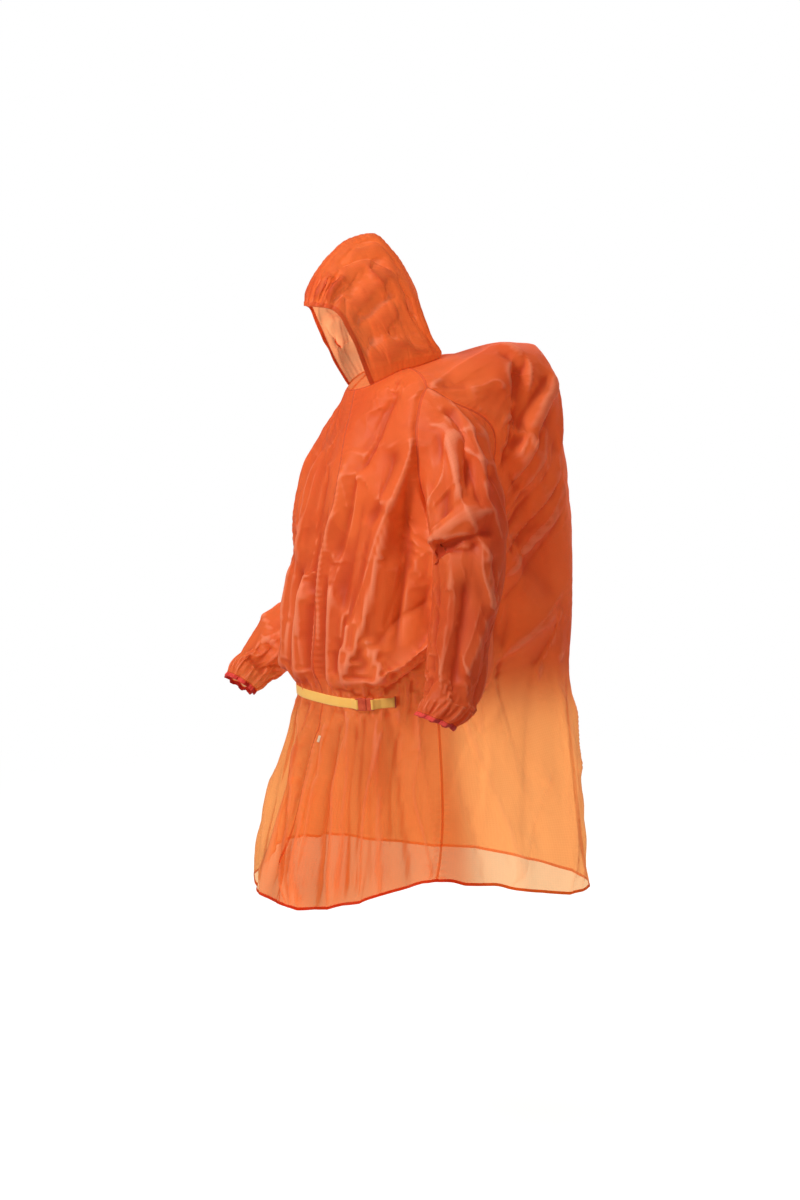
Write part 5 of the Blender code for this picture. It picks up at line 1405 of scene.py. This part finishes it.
def nylon(
    name, clear_back, clear_front, clear_high, stitches=(), pale=0.0, lit_high=0.36, lit=LIT, tint=CLEAR
):
    """Thin coated ripstop nylon that light shines through.

    The first three values say how much shows behind it: low and behind, low in front, and high up. The far,
    low cloth is more see-through, takes more glow, and glows brighter and yellower, as painted backlight,
    while the torso stays less see-through and so darker, as if a body filled it. The colour deepens in soft
    patches. Painted shade deepens it in folds and grooves, and painted highlights pale it on ridges, crinkle
    crests and, by the pale share, on seam laps. The ripstop threads stand out.
    """
    s = Shading(name)
    patches = s.noise(4.5, 3.0, distortion=0.3)
    crinkle = s.noise(11.0, 4.0, (1, 1, 0.45), 0.5, "RIDGED_MULTIFRACTAL")
    threads = [s.lines(value, RIPSTOP, RIPSTOP_WIDE) for value in (s.along, s.down)]
    threads = s.math("MAXIMUM", *threads)
    weave = s.noise(1500.0, 1.0)
    ridge, fold = (s.add("ShaderNodeAttribute", attribute_name=n).outputs["Fac"] for n in ("ridge", "fold"))
    colour = s.mix(s.ramp(patches, 0.35, 0.68), CLOTH, CLOTH_DEEP)
    # Painted shade: the colour deepens in folds, where the fold mark is low.
    colour = s.mix(s.ramp(fold, -0.9, 0.2, 0.80, 0.0), colour, PAINTED_FOLD_SHADE)
    # Painted highlight: paler on the crests of the crinkles that the bump raises.
    colour = s.mix(s.ramp(crinkle, 0.95, 1.6, 0.0, 0.30), colour, PAINTED_CRINKLE_HIGHLIGHT)
    # Painted highlight: paler on the crests, from the ridge mark.
    colour = s.mix(s.ramp(ridge, 0.20, 1.0, 0.0, 0.60), colour, PAINTED_RIDGE_HIGHLIGHT)
    # Painted shade: deeper in the grooves, from the ridge mark.
    colour = s.mix(s.ramp(ridge, -1.0, -0.15, 0.42, 0.0), colour, PAINTED_GROOVE_SHADE)
    colour = s.mix(s.times(threads, 0.14), colour, THREAD_DARK)
    # Painted highlight: the pale share lightens the colour towards a pale tone, offsetting the shade along the
    # seams.
    colour = s.mix(pale, colour, PAINTED_SEAM_LIGHT)
    normal = s.bump(crinkle, 0.0011)
    normal = s.bump(threads, 0.00010, normal)
    normal = s.bump(weave, 0.00003, normal)
    for low, high in stitches:
        row = s.times(s.ramp(s.down, low - 0.0003, low), s.ramp(s.down, high, high + 0.0003, 1.0, 0.0))
        thread = s.times(row, s.ramp(s.math("PINGPONG", s.along, STITCH), 0.00015, 0.0004))
        colour = s.mix(s.times(thread, 0.8), colour, STITCH_PALE)
        normal = s.bump(thread, 0.0004, normal)
    rough = s.ramp(s.noise(30.0, 3.0), 0.3, 0.7, 0.46, 0.58)
    solid = s.surface(colour, rough, normal, Sheen_Weight=0.06, Sheen_Roughness=0.35, Specular_IOR_Level=0.24)
    # Painted backlight: on the side away from the camera, low on the skirt, the glow takes a brighter,
    # yellower colour.
    where = s.add("ShaderNodeSeparateXYZ", {0: s.place}).outputs
    behind = s.math("MAXIMUM", s.ramp(where[1], -0.02, 0.12), s.ramp(where[0], -0.01, -0.13))
    skirt = s.ramp(where[2], -0.72, -0.52, 1.0, 0.0)
    lit = s.mix(s.times(behind, skirt), lit, PAINTED_BACKLIT_GLOW)
    glow = s.add("ShaderNodeBsdfTranslucent", {"Color": s.mix(0.30, lit, colour), "Normal": normal})
    # Painted backlight: the lower cloth takes more of the glow, so it looks brighter.
    through = s.ramp(where[2], -0.80, -0.50, 0.80, lit_high)
    cloth = s.add("ShaderNodeMixShader", {0: through, 1: solid, 2: glow.outputs[0]}).outputs[0]
    clear = s.add("ShaderNodeBsdfTransparent", {"Color": (*tint, 1.0)}).outputs[0]
    # The far, low cloth is more see-through, as painted backlight. High up it is least see-through, which
    # darkens the torso as if a body filled it.
    low = s.ramp(behind, 0.0, 1.0, clear_front, clear_back)
    share = s.ramp(skirt, 0.0, 1.0, clear_high, low)
    share = s.math("ADD", share, s.ramp(patches, 0.3, 0.7, 0.03, -0.03))
    share = s.math("SUBTRACT", share, s.times(threads, 0.05))
    share = s.math("SUBTRACT", share, s.ramp(s.math("ABSOLUTE", ridge), 0.1, 1.0, 0.0, 0.16))
    return s.finish(s.add("ShaderNodeMixShader", {0: share, 1: cloth, 2: clear}).outputs[0])


def woven(name, colour, dark, across, along, rough=0.72, sheen=0.25):
    """Webbing or elastic: ribs along and across it, painted shade in the grooves between them, and patches of
    dirt.
    """
    s = Shading(name)
    rib = s.ramp(s.math("PINGPONG", s.down, across / 2), 0.0, across / 2)
    pick = s.ramp(s.math("PINGPONG", s.along, along / 2), 0.0, along / 2)
    weave = s.times(rib, pick)
    fuzz = s.noise(900.0, 2.0)
    dirt = s.ramp(s.noise(60.0, 3.0), 0.3, 0.7, 0.0, 0.22)
    # Painted shade: darker in the weave's grooves, where the bump is low. The dirt noise adds random darker
    # patches.
    groove_shade_and_dirt = s.math("ADD", s.ramp(weave, 0.0, 0.7, 0.75, 0.0), dirt)
    normal = s.bump(fuzz, 0.00006, s.bump(weave, 0.0003))
    shader = s.surface(s.mix(groove_shade_and_dirt, colour, dark), rough, normal, Sheen_Weight=sheen, Sheen_Roughness=0.4)
    return s.finish(shader)


def moulded(name, colour, deep):
    """Satin moulded plastic: faint flow marks, fine grain and light scuffs."""
    s = Shading(name)
    scuff = s.ramp(s.noise(260.0, 4.0, (1, 1, 0.3)), 0.56, 0.70)
    grain = s.noise(2600.0, 2.0)
    shade = s.mix(s.ramp(s.noise(90.0, 2.0), 0.3, 0.7), colour, deep)
    shade = s.mix(s.times(scuff, 0.15), shade, (0.95, 0.34, 0.20))
    rough = s.math("ADD", s.ramp(grain, 0.3, 0.7, 0.30, 0.38), s.times(scuff, 0.2))
    normal = s.bump(grain, 0.00004, s.bump(scuff, 0.00006))
    return s.finish(s.surface(shade, rough, normal, Coat_Weight=0.12, Coat_Roughness=0.25))


def floor_material():
    """A matt pale floor that turns into the lit backdrop further out."""
    s = Shading("studio_floor")
    shade = s.mix(s.ramp(s.noise(0.7, 2.0), 0.3, 0.7), (0.92, 0.92, 0.915), (0.90, 0.90, 0.90))
    matt = s.surface(shade, 0.85, s.bump(s.noise(60.0, 3.0), 0.0004))
    away = s.add("ShaderNodeVectorMath", {0: s.place}, operation="LENGTH").outputs[1]
    seen = s.ramp(s.add("ShaderNodeLightPath").outputs["Is Camera Ray"], 0.0, 1.0, AMBIENT, 1.0)
    lit = s.add("ShaderNodeEmission", {"Color": (1, 1, 1, 1), "Strength": seen}).outputs[0]
    share = s.ramp(away, 1.7, 4.5, 0.75, 1.0)
    return s.finish(s.add("ShaderNodeMixShader", {0: share, 1: matt, 2: lit}).outputs[0])


# ------------------------------------------------------------------------------------------ studio
AMBIENT = 0.29  # how bright the backdrop is as a light; the camera sees it white
FLOOR_Z, FLOOR_HALF = -1.62, 20


def area_light(name, azimuth, elevation, distance, size, power, colour=(1, 1, 1), glossy=True):
    data = bpy.data.lights.new(name, "AREA")
    data.shape, data.size, data.energy, data.color = "DISK", size, power, colour
    light = bpy.data.objects.new(name, data)
    light.visible_glossy = glossy
    aim_from(light, azimuth, elevation, distance)


def make_studio():
    rows = np.linspace(-FLOOR_HALF, FLOOR_HALF, 5)
    grid = np.stack(np.broadcast_arrays(rows[None, :], rows[:, None], FLOOR_Z), axis=-1)
    floor = mesh_piece("studio_floor", [(grid, -1, False)], floor_material())
    world = bpy.data.worlds.new("studio")
    world.use_nodes = True
    tree = world.node_tree
    light = tree.nodes["Background"]
    light.inputs["Color"].default_value = (1.0, 1.0, 1.0, 1.0)
    seen = tree.nodes.new("ShaderNodeMapRange")
    seen.inputs["To Min"].default_value, seen.inputs["To Max"].default_value = AMBIENT, 1.0
    tree.links.new(tree.nodes.new("ShaderNodeLightPath").outputs["Is Camera Ray"], seen.inputs["Value"])
    tree.links.new(seen.outputs[0], light.inputs["Strength"])
    bpy.context.scene.world = world
    area_light("key", 12, 38, 4.2, 1.0, 150)
    area_light("back", 222, 24, 4.2, 2.8, 300, (1.0, 0.98, 0.95), glossy=False)
    area_light("top", 60, 88, 4.0, 3.0, 30)
    bpy.context.scene.view_settings.view_transform = "Standard"


# ------------------------------------------------------------------------------------------ making
def dress(piece, slot, *nodes):
    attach(piece, "root")
    if nodes:
        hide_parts(*nodes)
    return piece


def make_cloth(name, panel, cloth, lap_cloth, hem_cloth, elastic):
    """A panel's sheet and its trims. The sheet's flat size is kept with the panel."""
    piece = mesh_piece("cloth_" + name, [(panel["points"], panel["way"], panel["closed"])], cloth)
    # The ridge and fold marks go onto the sheet for the painted highlights and shade in its material.
    for mark in ("ridge", "fold"):
        values = piece.data.attributes.new(mark, "FLOAT", "POINT")
        values.data.foreach_set("value", panel[mark].ravel().astype(np.float32))
    dress(piece, "coated_nylon", name)
    trims = [dress(panel_seams(name, panel, lap_cloth), "coated_nylon")]
    kind, _, side = name.partition("_")
    if kind in ("front", "back"):
        trims.append(dress(panel_hem("hem_" + name, panel, "bottom", hem_cloth), "coated_nylon"))
    elif kind == "hood":
        trims.append(dress(panel_hem("casing_" + name, panel, "top", hem_cloth), "coated_nylon"))
    else:
        trims.append(dress(cuff(side, panel, elastic), "elastic_binding", "cuff_" + side))
    width, length = (float(reach.max()) for reach in lengths(panel["points"]))
    if panel["closed"]:
        width *= 1 + 1 / panel["points"].shape[1]
    area = sum(face.area for face in piece.data.polygons)
    panel.update(piece=piece, trims=trims, flat=(round(width, 3), round(length, 3)), area=round(area, 4))


def make_belt(webbing, thread, tab_cloth):
    belt = Belt()
    left = belt_half(belt, "belt_webbing_left", PLUG_END - BAR / 2, 1, webbing)
    dress(left, "webbing", "belt_left")
    right = belt_half(belt, "belt_webbing_right", SOCKET_START + BAR / 2, -1, webbing)
    dress(right, "webbing", "belt_right")
    for name, side in SIDES.items():
        place, size = place_on_body(side * SLIT_ANGLE, BELT_LEVEL, TACK_OUT), (TACK_HALF_WIDE, TACK_HALF_THICK)
        tack = framed_strip("slit_bar_tack_" + name, place, TACK_PATH, *size, thread, TACK_RIBS)
        dress(tack, "coated_nylon")
    place = place_on_body(TAB_ANGLE, TAB_LEVEL, TAB_OUT)
    loop = framed_strip("tab_loop", place, TAB_PATH, TAB_HALF_WIDE, TAB_HALF_THICK, tab_cloth)
    dress(loop, "tab_webbing", "tab_front")


def make_object():
    sheet_cloth = nylon("coated_nylon", 0.58, 0.20, 0.12)
    # The hood is a copy of the cloth with painted backlight: a brighter, yellower glow and tint, and more glow
    # high up.
    hood_painted_glow = dict(lit_high=0.50, lit=(1.0, 0.46, 0.20), tint=(1.0, 0.56, 0.28))
    hood_cloth = nylon("hood_nylon", 0.20, 0.20, 0.20, **hood_painted_glow)
    # Seam laps: more see-through, and painted paler (pale share 0.45) to offset the shade along the seams.
    lap_cloth = nylon("seam_nylon", 0.70, 0.60, 0.50, [(0.0014, 0.0018)], 0.45)
    hem_cloth = nylon("hem_nylon", 0.16, 0.12, 0.12, [(0.0012, 0.0016), (0.0108, 0.0112)])
    elastic = woven("elastic_binding", (0.88, 0.075, 0.050), (0.58, 0.022, 0.016), 0.0016, 0.0011, 0.75, 0.08)
    webbing = woven("webbing", (1.0, 0.62, 0.13), (0.98, 0.48, 0.08), 0.0020, 0.0014)
    thread = woven("bar_tack_thread", (0.70, 0.10, 0.03), (0.40, 0.04, 0.012), 0.0009, 0.0006)
    tab_cloth = woven("tab_webbing", (0.90, 0.68, 0.46), (0.66, 0.42, 0.25), 0.0012, 0.0009)
    plastic = moulded("buckle_plastic", (0.72, 0.095, 0.030), (0.56, 0.055, 0.016))

    panels = make_panels()
    settle(panels)
    for number, panel in enumerate(panels.values()):
        fine_panel(panel, 100 + 7 * number)
    for name, panel in panels.items():
        cloth = hood_cloth if name.startswith("hood") else sheet_cloth
        make_cloth(name, panel, cloth, lap_cloth, hem_cloth, elastic)
    make_belt(webbing, thread, tab_cloth)
    for name in ("buckle_female", "buckle_male"):
        for holder in frame["nodes"][name].material_slots:
            holder.material = plastic


make_object()
make_studio()
